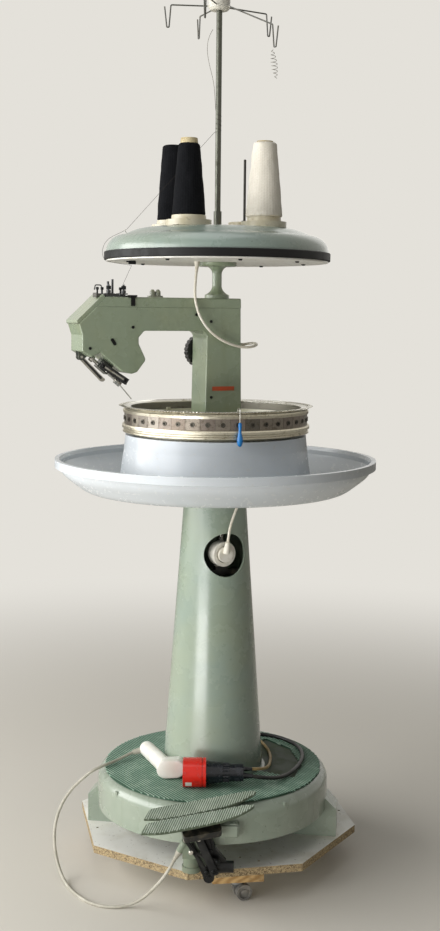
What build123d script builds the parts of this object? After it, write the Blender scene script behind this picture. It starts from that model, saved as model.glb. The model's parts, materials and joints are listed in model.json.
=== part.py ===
from build123d import *
import os
from math import atan2, cos, degrees, pi, radians, sin, tan

# Linking machine: a round dial of points on a pedestal, with a needle head over
# it, a yarn disc on top, a work tray round it and a foot control, all of it
# standing on a board with casters. Millimetres, Z up, floor at Z = 0, the
# machine's own axis on X = Y = 0, the operator in front at -Y.

os.makedirs("parts", exist_ok=True)

SEAT_GAP = 0.3  # between pieces that only rest on each other
RUN_GAP = 0.05  # radial clearance of a running fit

# Wheeled board
CASTER_HEIGHT = 50.0
CASTER_WHEEL_R = 18.0
CASTER_WHEEL_W = 12.0
CASTER_AXLE_R = 3.0
CASTER_TRAIL = 14.0
CASTER_STEM_R = 5.0
CASTER_STEM = 9.0
CASTER_RIVET_R = CASTER_STEM_R + 2.5
CASTER_RIVET = 1.5
CASTER_PLATE = 2.5
CASTER_PLATE_SIDE = 40.0
CASTER_PLATE_ROUND = 5.0
CASTER_HOLE_R = 2.2
CASTER_HOLE_PITCH = 30.0
CASTER_HUB_R = CASTER_WHEEL_R - 11.0
CASTER_RIM_R = CASTER_WHEEL_R - 5.0
CASTER_DISH = 3.0
FORK_WALL = 6.0
FORK_HUB_R = 14.0
FORK_HUB = 8.4
BLOCK_HEIGHT = 18.0
BLOCK_LENGTH = 115.0
BLOCK_WIDTH = 58.0
BOARD_THICK = 18.0
BOARD_CORNERS = [
    (-52, -271), (203, -220), (342, -2), (300, 226),
    (118, 340), (-150, 338), (-326, 132), (-270, -134),
]
BOARD_HOLES = [(294, 163), (312, 86), (64, -190), (106, -208), (-290, 40), (-272, -32)]
BOARD_HOLE_R = 3.0
CASTER_SPOTS = [(56, -214, 200, 8), (-262, 42, 150, 98), (276, 60, 35, 95), (30, 290, 95, 176)]

# Base casting
BASE_R = 272.0
BASE_LOW = 150.0
BASE_TOP = 236.0
BASE_WALL = 14.0
BASE_SHOULDER = 26.0
FOOT_REACHES = {-8: BASE_R + 25.0, 82: BASE_R + 25.0, 172: BASE_R + 25.0, 262: BASE_R - 38.0}
FOOT_IN = BASE_R - 76.0
FOOT_ROOT = 178.0
FOOT_WIDTH = 62.0
BASE_BORE_R = 60.0
RIB_AZIMUTHS = (37, 127, 217, 307)
RIB_THICK = 8.0
MAT_R = BASE_R - 17.4
MAT_THICK = 3.0
MAT_HOLE_R = 122.0
MAT_CUT_FROM = -28.0
MAT_CUT_TO = 52.0
MAT_CUT_R = 214.0
MAT_CUT_IN_R = 40.0
MAT_CUT_CORNER = 16.0

# Column
COLUMN_LOW_R = 118.0
COLUMN_SLOPE = 0.0724
COLUMN_TOP = 894.0
COLUMN_WALL = 7.0
SOCKET_AZIMUTH = 291.0
SOCKET_Z = 753.0
SOCKET_HOLE_R = 50.0
SOCKET_RING_R = 29.0
SOCKET_RING_DEPTH = 26.0
SOCKET_WELL_R = 19.5
SOCKET_OUT = 66.0
SOCKET_TURN = 300.0
SOCKET_RAIL = 12.0
SOCKET_RAIL_LOW = 701.0
PLUG_R = 18.0
PLUG_DEPTH = 22.0

# Drive inside the column
MOTOR_LOW = 262.0
MOTOR_TOP = 452.0
MOTOR_R = 64.0
MOTOR_CAP = 16.0
MOTOR_FINS = 24
MOTOR_PLATE_R = 88.0
DRIVE_U = -16.0
GEAR_R = 14.8
GEAR_TOOTH = 2.0
GEAR_TEETH = 12
GEAR_LENGTH = 26.0

# Tray and the drum that carries the dial
TRAY_R = 369.4
TRAY_TOP = 969.0
TRAY_FLOOR_R = 285.0
TRAY_WALL = 3.0
TRAY_LIP = 10.0
NECK_R = 96.0
SKIRT_TOP_R = 208.0
SKIRT_LOW_R = 223.0
SKIRT_TOP = 1024.0
SKIRT_WALL = 4.0

# Dial
DIAL_R = 218.5
DIAL_TOP = 1092.0
DIAL_POINT = 9.0
DIAL_FLANGE = 2.0
DIAL_COMB = 180
TOP_RING_R = 213.0
TOP_RING_LOW = 1075.0
PLATE_COUNT = 40
PLATE_R = 210.5
PLATE_THICK = 4.5
PLATE_LOW = 1049.0
PLATE_SLIT = 0.35
LOW_RING_R = 215.5
LOW_RING_LOW = 1031.0
DRUM_WALL = 10.0
SCREW_HEAD_R = 5.2
SCREW_HEAD_HIGH = 1.6
PAN_R = 188.0
PAN_Z = 1040.0
PAN_WALL = 4.0
PAN_RIM = 30.0
PAN_BORE_R = 70.0
COLLAR_AT = (160.0, 188.0)
COLLAR_R = 20.0
COLLAR_HIGH = 26.0
GUARD_AT = (128.0, 214.0)
GUARD_HIGH = 46.0
BEARING_R = 186.0

# Hook tool that hangs on the dial
TOOL_AZIMUTH = 283.5
TOOL_LOW = 1017.0
TOOL_HANDLE = 52.0
TOOL_HANDLE_R = 6.5
TOOL_WIRE_R = 1.2

# Head: its own plane runs from the post's axis out along the arm
HEAD_AZIMUTH = 203.0
HEAD_HALF = 44.0
POST_TOP_HALF = 41.0
POST_LOW_HALF = 45.0
POST_LOW = 1044.1
LID_SEAM = 1312.0
HEAD_TOP = 1334.0
ARM_UNDER = 1260.5
NOSE_TOP = (277.0, 1334.0)
NOSE_TIP = (339.5, 1275.0)
COVER_THICK = 8.0
HEAD_WALL = 7.0
WHEEL_U = 14.0
WHEEL_Z = 1213.0
HANDWHEEL_R = 39.0
HANDWHEEL_W = 20.0
SHAFT_R = 8.0
PILLAR_R = 11.0
PILLAR_BELL_R = 28.0
PILLAR_FLANGE_R = 45.0
PILLAR_FLANGE = 9.0
WHEEL_GAP = 4.0
HEAD_EDGE = 2.5

# Oil caps and thread tension on the arm
OIL_CAPS_U = (143.0, 156.0)
OIL_CAP_R = 6.2
OIL_CAP_HIGH = 9.0
TENSION_PLATE = 3.0
TENSION_POST_R = 2.2
TENSION_SPOTS = {"tension_nut_1": (265.0, -20.0), "tension_nut_2": (229.0, -16.0)}
GUIDE_POSTS = [(258.0, 6.0, 34.0), (246.5, 10.0, 39.0)]
NUT_LOW = HEAD_TOP + 16.0
NUT_HIGH = 8.0
NUT_R = 4.6

# Needle drive under the nose
BAR_OUT = 15.0
BAR_R = 4.0
BAR_FROM = 6.0
BAR_TO = 92.0
BAR_COLLAR_R = 7.5
BAR_CLAMP_R = 8.5
GUIDE_FROM = 21.0
GUIDE_TO = 50.0
GUIDE_HALF = 13.0
NEEDLE_R = 1.3
NEEDLE_TIP = (205.5, 1108.0)
ROCKER_PIN = (324.0, 1202.5)
ROCKER_END = (275.0, 1153.0)
ROCKER_HALF = 5.0
ROCKER_WIDE = 9.0
ROCKER_PIN_R = 3.0
EAR_THICK = 5.0

# Yarn disc
DISC_R = 252.5
DISC_LOW = 1418.0
BAND_HIGH = 18.0
BAND_THICK = 4.0
DISC_CROWN = 1489.0
DISC_SHOULDER = 38.0
DISC_WALL = 4.0
UNDERPLATE = 3.0

# Mast, guide and cones
MAST_R = 6.5
MAST_COLLAR_R = 9.0
MAST_COLLAR = 34.0
HUB_LOW = 1968.0
HUB_HIGH = 34.0
HUB_R = 24.0
GUIDE_WIRE_R = 1.6
CONE_RING_R = 120.5
CONE_FIRST = 58.75
STAND_HUB_R = 46.0
STAND_ARM = 38.0
CONE_PAD_R = 50.0
CONE_PAD = 13.0
CONE_STEP_R = 38.5
CONE_STEP = 10.0
SPINDLE_R = 3.0
SPINDLE_SHANK_R = 2.6
SPINDLE_FOOT_R = 7.0
SPINDLE_FOOT = 4.0
SPINDLE_TOP = 1657.0
CONE_LOW_R = 39.5
CONE_TOP_R = 24.5
CONE_TALL = 156.0
CORE_WALL = 2.0
CORE_RISE = 9.0
CORE_TOP_R = 18.5
CORE_LOW_R = 30.0

# Foot control
PEDAL_LENGTH = 244.0
PEDAL_WIDTH = 49.0
PEDAL_HEEL_WIDTH = 38.0
PEDAL_WAIST_WIDTH = 41.0
PEDAL_THICK = 6.0
PEDAL_GAP = 1.5
PEDAL_Y = -BASE_R - 22.0
PEDAL_ORIGIN = (0.0, PEDAL_Y, 237.0)
PEDAL_AZIMUTH = 11.5
PEDAL_RISE = 7.0
PEDAL_ROLL = 20.0
PEDAL_PIN_R = 4.0
PEDAL_PIN_S = -34.0
POT_R = 21.0
POT_TALL = 54.0
POT_SPOT = (-43.5, 14.0 - BASE_R)

# Plugs
RED_R = 33.0
RED_LENGTH = 52.0
RED_GROOVE = 2.5
RED_FLOOR = 12.0
RED_WALL = 4.0
PIN_RING_R = 15.0
PIN_R = 3.2
PIN_LONG = 26.0
MAINS_Y = 112.0 - BASE_R
MAINS_START = (-66.0, MAINS_Y)
MAINS_LENGTH = 136.0
MAINS_BODY_R = 26.0
MAINS_BODY = 38.0
MAINS_NUT_R = 19.5
PLUG_PINS = 5

GREY_START = (-175.0, 60.0, 256.5)
GREY_TURN = (-123.0, -76.0, 259.4)
GREY_END = (-84.0, -116.0, 259.8)
GREY_R = 16.5
GREY_FACE_R = 19.5
GREY_SEAM = 1.0

PEDAL_EAR = 8.0
PEDAL_EAR_OFF = 6.0
PEDAL_EAR_DROP = 16.0
PEDAL_PIN_DROP = 15.0
PEDAL_PIN_REACH = 20.0
PEDAL_PIN_LENGTH = 39.0
PEDAL_BODY_TOP = 25.0
PEDAL_BODY_HIGH = 16.0
PEDAL_BODY_LONG = 84.0
PEDAL_BODY_WIDE = 50.0
PEDAL_BODY_ROUND = 9.0
PEDAL_CHEEK = 18.0
PEDAL_CHEEK_OUT = 15.5
POT_LEG_LOW = 128.0
POT_LEG_TALL = 66.0
POT_LEG_WIDE = 38.0
POT_LEG_THICK = 18.0
POT_NECK_WIDE = 26.0
POT_NECK_LONG = 30.0
POT_FLANGE = 12.0
LINK_FRONT = BASE_R + 24.05
LINK_LOW = CASTER_HEIGHT + BLOCK_HEIGHT + BOARD_THICK
LINK_HIGH = LINK_LOW + 100.0
LINK_PLATE = 5.0
LINK_BLOCK = 14.0
LINK_EYE_R = 12.0
LINK_BARREL_R = 12.5
LINK_BARREL_FROM = 8.0
LINK_BARREL = 41.0
LINK_BARREL_Z = 110.0
LINK_BOLT_R = 5.0
LINK_BOLT = 3.0
POT_LEG_Y = PEDAL_Y + 7.0

HEAD_SCREW_R = 3.2
HEAD_SCREWS = [(67.7, 1296.8), (32, 1281.7), (217.2, 1268.3), (315.1, 1222), (30.4, 1111.7)]
PAD_PLATE = 6.0
HOOK_DROP = 48.0
GUIDE_ARMS = [(186, 108, 0), (115, 106, 0), (254, 104, 0), (32, 126, 0), (330, 134, 52)]

# Cord routes, from the photograph
PEDAL_CORD_WIDTH = 7.0
PEDAL_CORD = [
    (-69, PEDAL_Y + 5, 143), (-80, PEDAL_Y + 6, 123), (-92, PEDAL_Y + 9, 98),
    (-108, PEDAL_Y + 14, 72), (-129, PEDAL_Y + 21, 46), (-152, PEDAL_Y + 28, 21),
    (-179, PEDAL_Y + 30, 6.5), (-210, PEDAL_Y + 25, 3.6), (-243, PEDAL_Y + 29, 3.6),
    (-273, PEDAL_Y + 48, 3.6),
    (-299, -214, 3.6), (-319, -183, 3.6), (-335, -150, 5), (-350, -124, 20), (-360, -112, 48),
    (-365, -106, 80), (-365, -98, 112), (-359, -84, 142), (-347, -72, 168), (-329, -67, 194),
    (-306, -70, 218), (-284, -66, 236), (-262, -54, 244), (-240, -32, 245.5), (-222, -8, 246),
    (-207, 9, 249), (-192, 22, 252),
]
MAINS_CORD_WIDTH = 9.0
MAINS_CORD = [
    (70.4, MAINS_Y - 3, 266), (86, MAINS_Y - 3, 265.5), (108, MAINS_Y + 2, 261),
    (132, MAINS_Y + 16, 254), (154, MAINS_Y + 38, 247), (174, -94, 244), (192, -60, 244),
    (206, -22, 244), (215, 18, 244), (217, 62, 244), (207, 108, 244), (184, 148, 244),
    (150, 177, 244), (112, 190, 244), (78, 193, 246),
    (51.4, 189.5, 250), (31.5, 180, 255), (16.2, 164.4, 259.5), (8, 144, 262), (8, 122.2, 262),
]
LINK_CORD_WIDTH = 7.0
LINK_CORD = [
    (70.6, MAINS_Y + 4, 279), (88, MAINS_Y + 7, 278), (104, MAINS_Y + 18, 275),
    (116, MAINS_Y + 36, 269), (124, -100, 262),
    (129, -74, 255.5), (133, -44, 249), (136, -12, 244), (139, 26, 241), (138.5, 56, 240.2),
    (135, 84, 240.2), (129, 112, 240.6), (118, 140, 243.5), (102.5, 158, 245.5), (83.5, 169, 249),
    (61.6, 171.6, 253), (44.5, 166, 257), (31.9, 154.6, 260), (25, 139.1, 261.8),
    (25, 122.2, 262),
]
HEAD_CORD_WIDTH = 6.0
HEAD_CORD = [
    (-45, -36, 1414.2), (-46, -40, 1396), (-48, -50, 1372), (-49, -64, 1348), (-47, -76, 1325),
    (-41, -80, 1302), (-30, -77, 1280), (-15, -70, 1261), (3, -62, 1246), (23, -53, 1235),
    (45, -42, 1227), (67, -31, 1224), (84, -20, 1226), (93, -8, 1230), (90, 5, 1233),
    (79, 11, 1233), (67, 9, 1231), (56.5, 4, 1229), (46.6, 0, 1228),
]
SOCKET_CORD = [
    (30.5, -77, 785), (32, -80.5, 800), (35, -81, 818), (40, -78.5, 836), (46, -74, 852),
    (52, -68.5, 868), (57, -63, 881), (60, -60, 892.6),
]
RELIEF_ROOT = (27.0, -70.0, 758.0)
GLAND_R = 8.0
GLAND_PROUD = 14.0
COLUMN_GLANDS = [(8.0, 262.0), (25.0, 262.0)]

BOARD_LOW = CASTER_HEIGHT + BLOCK_HEIGHT
BOARD_TOP = BOARD_LOW + BOARD_THICK
MAT_TOP = BASE_TOP + MAT_THICK
BAND_R = DISC_R + BAND_THICK


def save(solid, name):
    solid.label = name
    export_step(solid, f"parts/{name}.step")


def column_radius(z):
    return COLUMN_LOW_R - COLUMN_SLOPE * (z - BASE_TOP)


def polar(radius, azimuth, z=0.0):
    return (radius * cos(radians(azimuth)), radius * sin(radians(azimuth)), z)


def upright(azimuth, out=0.0):
    """A vertical plane through the axis: local X runs outward, local Y up."""
    return Plane(
        origin=polar(out, azimuth),
        x_dir=polar(1, azimuth),
        z_dir=polar(1, azimuth - 90),
    )


def head_point(u, z, back=0.0):
    along = polar(u, HEAD_AZIMUTH)
    across = polar(back, HEAD_AZIMUTH - 90)
    return (along[0] + across[0], along[1] + across[1], z)


def head_plane(u=0.0, z=0.0, back=0.0):
    """Local X along the arm, local Y up, local Z to the machine's back."""
    return Plane(
        origin=head_point(u, z, back),
        x_dir=polar(1, HEAD_AZIMUTH),
        z_dir=polar(1, HEAD_AZIMUTH - 90),
    )


def head_deck(u, z, back=0.0):
    """A level plane on the head, local X along the arm."""
    return Plane(origin=head_point(u, z, back), x_dir=polar(1, HEAD_AZIMUTH), z_dir=(0, 0, 1))


def corner_radii(points):
    radii = []
    for before, here, after in zip(points, points[1:], points[2:]):
        into = Vector(*here) - Vector(*before)
        out = Vector(*after) - Vector(*here)
        half_turn = radians(into.get_angle(out)) / 2
        radii.append(0.45 * min(into.length, out.length) / tan(half_turn))
    return radii


def cord_tube(points, diameter, name):
    radii = corner_radii(points)
    into = Vector(*points[1]) - Vector(*points[0])
    with BuildPart() as tube:
        with BuildLine() as route:
            FilletPolyline(*points, radius=radii)
        with BuildSketch(Plane(origin=points[0], z_dir=into)):
            Circle(diameter / 2)
        sweep()
    length = sum(edge.length for edge in route.edges())
    share = tube.part.volume / (length * pi * diameter**2 / 4)
    print(name, "length", round(length), "volume share", round(share, 4),
          "radii", [round(r) for r in radii])
    save(tube.part, name)


# Wheeled board
with BuildPart() as dolly_board:
    with BuildSketch(Plane.XY.offset(BOARD_LOW)):
        with BuildLine():
            Polyline(*BOARD_CORNERS, close=True)
        make_face()
        with Locations(*BOARD_HOLES):
            Circle(BOARD_HOLE_R, mode=Mode.SUBTRACT)
    extrude(amount=BOARD_THICK)
save(dolly_board.part, "dolly_board")

with BuildPart() as dolly_blocks:
    for x, y, turn, along in CASTER_SPOTS:
        with BuildSketch(Plane.XY.offset(CASTER_HEIGHT)):
            with Locations(Location((x, y, 0), (0, 0, along))):
                Rectangle(BLOCK_LENGTH, BLOCK_WIDTH)
        extrude(amount=BLOCK_HEIGHT - SEAT_GAP / 10)
save(dolly_blocks.part, "dolly_blocks")

PLATE_FACE = CASTER_HEIGHT - SEAT_GAP / 10 - CASTER_PLATE
with BuildPart() as caster_plates:
    for x, y, turn, along in CASTER_SPOTS:
        with BuildSketch(Plane.XY.offset(PLATE_FACE)):
            with Locations(Location((x, y, 0), (0, 0, turn))):
                RectangleRounded(CASTER_PLATE_SIDE, CASTER_PLATE_SIDE, CASTER_PLATE_ROUND)
                with GridLocations(CASTER_HOLE_PITCH, CASTER_HOLE_PITCH, 2, 2):
                    Circle(CASTER_HOLE_R, mode=Mode.SUBTRACT)
        extrude(amount=CASTER_PLATE)
        with BuildSketch(Plane.XY.offset(PLATE_FACE)):
            with Locations((x, y)):
                Circle(CASTER_STEM_R)
        extrude(amount=-CASTER_STEM)
        with BuildSketch(Plane.XY.offset(PLATE_FACE - CASTER_STEM)):
            with Locations((x, y)):
                Circle(CASTER_RIVET_R)
        extrude(amount=-CASTER_RIVET)
save(caster_plates.part, "caster_plates")

FORK_TOP = PLATE_FACE - SEAT_GAP
FORK_LOW = FORK_TOP - FORK_HUB
for number, (x, y, turn, along) in enumerate(CASTER_SPOTS, start=1):
    swivel = Plane(origin=(x, y, 0), x_dir=polar(1, turn), z_dir=(0, 0, 1))
    axle = swivel.from_local_coords(Vector(-CASTER_TRAIL, 0, CASTER_WHEEL_R))
    axle_plane = Plane(origin=axle, x_dir=polar(1, turn), z_dir=polar(1, turn - 90))
    with BuildPart() as fork:
        with BuildSketch(swivel.offset(FORK_LOW)):
            Circle(FORK_HUB_R)
            Circle(CASTER_STEM_R + RUN_GAP, mode=Mode.SUBTRACT)
        extrude(amount=FORK_TOP - FORK_LOW)
        with BuildSketch(axle_plane):
            with BuildLine():
                Polyline(
                    (-6, -6), (6, -6), (CASTER_TRAIL + 12, FORK_LOW - CASTER_WHEEL_R - 4),
                    (CASTER_TRAIL + 12, FORK_LOW - CASTER_WHEEL_R + 0.5),
                    (CASTER_TRAIL - 12, FORK_LOW - CASTER_WHEEL_R + 0.5), (-8, 4),
                    close=True,
                )
            make_face()
            Circle(CASTER_AXLE_R + RUN_GAP, mode=Mode.SUBTRACT)
        extrude(amount=FORK_WALL / 2, both=True)
        with BuildSketch(swivel.offset(FORK_LOW - 3)):
            Circle(CASTER_RIVET_R + 0.4)
        extrude(amount=6, mode=Mode.SUBTRACT)
    save(fork.part, f"caster_fork_{number}")
    with BuildPart() as wheel:
        for side in (-1, 1):
            inner = side * (FORK_WALL / 2 + 0.8)
            with BuildSketch(axle_plane.offset(inner)):
                Circle(CASTER_WHEEL_R)
            extrude(amount=side * CASTER_WHEEL_W)
            with BuildSketch(axle_plane.offset(inner + side * CASTER_WHEEL_W)):
                Circle(CASTER_RIM_R)
                Circle(CASTER_HUB_R, mode=Mode.SUBTRACT)
            extrude(amount=-side * CASTER_DISH, mode=Mode.SUBTRACT)
        with BuildSketch(axle_plane):
            Circle(CASTER_AXLE_R)
        extrude(amount=FORK_WALL / 2 + 2, both=True)
    save(wheel.part, f"caster_wheel_{number}")

# Base casting: a drum with a rounded shoulder, hollow underneath, on four feet
with BuildPart() as base_casting:
    with BuildSketch(Plane.XZ):
        with BuildLine():
            Polyline((BASE_BORE_R, BASE_TOP), (BASE_R - BASE_SHOULDER, BASE_TOP))
            RadiusArc(
                (BASE_R - BASE_SHOULDER, BASE_TOP),
                (BASE_R, BASE_TOP - BASE_SHOULDER), BASE_SHOULDER,
            )
            Polyline(
                (BASE_R, BASE_TOP - BASE_SHOULDER), (BASE_R, BASE_LOW),
                (BASE_R - BASE_WALL, BASE_LOW),
                (BASE_R - BASE_WALL, BASE_TOP - BASE_SHOULDER),
                (BASE_R - BASE_WALL - 12, BASE_TOP - 12),
                (BASE_BORE_R, BASE_TOP - 12), (BASE_BORE_R, BASE_TOP),
            )
        make_face()
    revolve(axis=Axis.Z)
    for azimuth, reach in FOOT_REACHES.items():
        with BuildSketch(upright(azimuth)):
            with BuildLine():
                foot_low = BOARD_TOP + SEAT_GAP / 10
                Polyline(
                    (FOOT_IN, foot_low), (reach, foot_low), (reach, BASE_LOW + 2),
                    (min(reach, BASE_R - 2), FOOT_ROOT), (min(reach, BASE_R - BASE_WALL), BASE_TOP - 20),
                    (FOOT_IN, BASE_TOP - 6), close=True,
                )
            make_face()
        extrude(amount=FOOT_WIDTH / 2, both=True)
    for azimuth in RIB_AZIMUTHS:
        with BuildSketch(upright(azimuth).offset(-RIB_THICK / 2)):
            with Locations(((BASE_R + 40) / 2 + 10, (BASE_LOW + BASE_TOP) / 2)):
                Rectangle(BASE_R - 60, BASE_TOP - BASE_LOW - 20)
        extrude(amount=RIB_THICK)
save(base_casting.part, "base_casting")

with BuildPart() as base_mat:
    with BuildSketch(Plane.XY.offset(BASE_TOP)):
        Circle(MAT_R)
        Circle(MAT_HOLE_R, mode=Mode.SUBTRACT)
        with BuildLine():
            Polyline(
                polar(MAT_CUT_IN_R, MAT_CUT_FROM), polar(MAT_CUT_R, MAT_CUT_FROM),
                polar(MAT_CUT_R, (MAT_CUT_FROM + MAT_CUT_TO) / 2 - MAT_CUT_CORNER),
                polar(MAT_CUT_R, (MAT_CUT_FROM + MAT_CUT_TO) / 2 + MAT_CUT_CORNER),
                polar(MAT_CUT_R, MAT_CUT_TO), polar(MAT_CUT_IN_R, MAT_CUT_TO),
                close=True,
            )
        make_face(mode=Mode.SUBTRACT)
    extrude(amount=MAT_THICK)
save(base_mat.part, "base_mat")

# Column: a rolled sheet cone with a round opening for the socket
with BuildPart() as column:
    with BuildSketch(Plane.XZ):
        with BuildLine():
            top_r = column_radius(COLUMN_TOP)
            Polyline(
                (COLUMN_LOW_R, BASE_TOP), (top_r, COLUMN_TOP),
                (top_r - COLUMN_WALL, COLUMN_TOP), (COLUMN_LOW_R - COLUMN_WALL, BASE_TOP),
                close=True,
            )
        make_face()
    revolve(axis=Axis.Z)
    with BuildSketch(Plane(origin=(0, 0, SOCKET_Z), z_dir=polar(1, SOCKET_AZIMUTH))):
        Circle(SOCKET_HOLE_R)
    extrude(amount=COLUMN_LOW_R, mode=Mode.SUBTRACT)
    for x, z in COLUMN_GLANDS:
        with BuildSketch(Plane(origin=(x, column_radius(z) - GLAND_PROUD / 2, z), z_dir=(0, 1, 0))):
            Circle(GLAND_R)
        extrude(amount=GLAND_PROUD - 1.1)
save(column.part, "column")

socket_face = Plane(
    origin=polar(SOCKET_OUT, SOCKET_AZIMUTH, SOCKET_Z), z_dir=polar(1, SOCKET_TURN),
)
with BuildPart() as column_socket:
    with BuildSketch(socket_face):
        Circle(SOCKET_RING_R)
    extrude(amount=-SOCKET_RING_DEPTH)
    with BuildSketch(socket_face):
        Circle(SOCKET_WELL_R)
    extrude(amount=-SOCKET_RING_DEPTH + 5, mode=Mode.SUBTRACT)
    fillet(column_socket.edges().filter_by(GeomType.CIRCLE).sort_by(
        lambda edge: edge.center().length)[-2:], 1.6)
    back_x, back_y, back_z = polar(SOCKET_OUT - SOCKET_RING_DEPTH, SOCKET_AZIMUTH)
    with BuildSketch(Plane.XY.offset(SOCKET_RAIL_LOW)):
        with Locations(Location((back_x, back_y, 0), (0, 0, SOCKET_AZIMUTH))):
            Rectangle(SOCKET_RAIL, 4 * SOCKET_RING_R + 60)
        Circle(column_radius(SOCKET_RAIL_LOW + SOCKET_RAIL) - COLUMN_WALL - 0.1, mode=Mode.INTERSECT)
    extrude(amount=SOCKET_RAIL)
    with BuildSketch(Plane.XY.offset(SOCKET_RAIL_LOW)):
        with Locations(Location((back_x, back_y, 0), (0, 0, SOCKET_AZIMUTH))):
            Rectangle(SOCKET_RAIL, SOCKET_RING_R)
    extrude(amount=SOCKET_Z - SOCKET_RING_R / 2 - SOCKET_RAIL_LOW)
save(column_socket.part, "column_socket")

# Motor and the upright shaft that it turns
with BuildPart() as drive_motor:
    with BuildSketch(head_deck(DRIVE_U, MOTOR_LOW)):
        Circle(MOTOR_R)
        with PolarLocations(MOTOR_R, MOTOR_FINS):
            Rectangle(10, 4)
    extrude(amount=MOTOR_TOP - MOTOR_LOW)
    with BuildSketch(head_deck(DRIVE_U, MOTOR_TOP)):
        Circle(MOTOR_R - 8)
    extrude(amount=MOTOR_CAP)
    with BuildSketch(Plane.XY.offset(BASE_TOP + SEAT_GAP / 10)):
        Circle(MOTOR_PLATE_R)
        with PolarLocations(MOTOR_PLATE_R - 8, 4, start_angle=45):
            Circle(4, mode=Mode.SUBTRACT)
    extrude(amount=MOTOR_LOW - BASE_TOP)
    with BuildSketch(head_deck(DRIVE_U, MOTOR_TOP + MOTOR_CAP)):
        Circle(SHAFT_R + RUN_GAP)
    extrude(amount=-60, mode=Mode.SUBTRACT)
save(drive_motor.part, "drive_motor")

with BuildPart() as drive_shaft:
    with BuildSketch(head_deck(DRIVE_U, MOTOR_TOP - 40)):
        Circle(SHAFT_R)
    extrude(amount=WHEEL_Z + 40 - MOTOR_TOP + 40)
    with BuildSketch(head_deck(DRIVE_U, WHEEL_Z - GEAR_LENGTH / 2)):
        Circle(GEAR_R - GEAR_TOOTH)
        with PolarLocations(GEAR_R - GEAR_TOOTH, GEAR_TEETH):
            Rectangle(2 * GEAR_TOOTH, GEAR_TOOTH)
    extrude(amount=GEAR_LENGTH)
save(drive_shaft.part, "drive_shaft")

# Tray: a wide bowl with a rolled lip, and a neck that sits on the column
with BuildPart() as fabric_tray:
    with BuildSketch(Plane.XZ):
        with BuildLine():
            Polyline(
                (NECK_R, COLUMN_TOP + TRAY_WALL), (NECK_R, COLUMN_TOP),
                (TRAY_FLOOR_R, COLUMN_TOP),
            )
            Spline(
                (TRAY_FLOOR_R, COLUMN_TOP), (TRAY_R - 40, TRAY_TOP - 52),
                (TRAY_R - TRAY_LIP, TRAY_TOP - 20),
                tangents=[(1, 0.1), (0.4, 1)],
            )
            Polyline(
                (TRAY_R - TRAY_LIP, TRAY_TOP - 20), (TRAY_R, TRAY_TOP - 18), (TRAY_R, TRAY_TOP),
                (TRAY_R - TRAY_LIP, TRAY_TOP), (TRAY_R - TRAY_LIP - TRAY_WALL, TRAY_TOP - 8),
                (TRAY_R - TRAY_LIP - TRAY_WALL, TRAY_TOP - 18),
            )
            Spline(
                (TRAY_R - TRAY_LIP - TRAY_WALL, TRAY_TOP - 18),
                (TRAY_R - 43, TRAY_TOP - 50), (TRAY_FLOOR_R, COLUMN_TOP + TRAY_WALL),
                tangents=[(-0.4, -1), (-1, -0.1)],
            )
            Polyline((TRAY_FLOOR_R, COLUMN_TOP + TRAY_WALL), (NECK_R, COLUMN_TOP + TRAY_WALL))
        make_face()
    revolve(axis=Axis.Z)
save(fabric_tray.part, "fabric_tray")

# Skirt drum: flares towards the tray and closes under the dial
SKIRT_LOW = COLUMN_TOP + TRAY_WALL
with BuildPart() as dial_skirt:
    with BuildSketch(Plane.XZ):
        with BuildLine():
            Polyline(
                (SKIRT_LOW_R, SKIRT_LOW + SEAT_GAP / 10), (SKIRT_LOW_R, SKIRT_LOW + 16),
                (SKIRT_TOP_R + 3, SKIRT_TOP - 30), (SKIRT_TOP_R, SKIRT_TOP),
                (104, SKIRT_TOP), (104, SKIRT_TOP - SKIRT_WALL),
                (SKIRT_TOP_R - SKIRT_WALL, SKIRT_TOP - SKIRT_WALL),
                (SKIRT_TOP_R + 3 - SKIRT_WALL, SKIRT_TOP - 30),
                (SKIRT_LOW_R - SKIRT_WALL, SKIRT_LOW + 16),
                (SKIRT_LOW_R - SKIRT_WALL, SKIRT_LOW + SEAT_GAP / 10),
                close=True,
            )
        make_face()
    revolve(axis=Axis.Z)
save(dial_skirt.part, "dial_skirt")

# Fixed centre: the bearing ring stands on the column through tray and skirt
BEARING_LOW = COLUMN_TOP - 36
with BuildPart() as dial_bearing:
    with BuildSketch(Plane.XZ):
        with BuildLine():
            Polyline(
                (40, BEARING_LOW), (column_radius(BEARING_LOW) - COLUMN_WALL - 0.2, BEARING_LOW),
                (column_radius(COLUMN_TOP) - COLUMN_WALL - 0.2, COLUMN_TOP + 0.1),
                (NECK_R - 0.4, COLUMN_TOP + 0.1), (NECK_R - 0.4, SKIRT_TOP + 0.3),
                (BEARING_R, SKIRT_TOP + 0.3), (BEARING_R, PAN_Z - 0.1), (40, PAN_Z - 0.1),
                close=True,
            )
        make_face()
    revolve(axis=Axis.Z)
save(dial_bearing.part, "dial_bearing")

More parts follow.
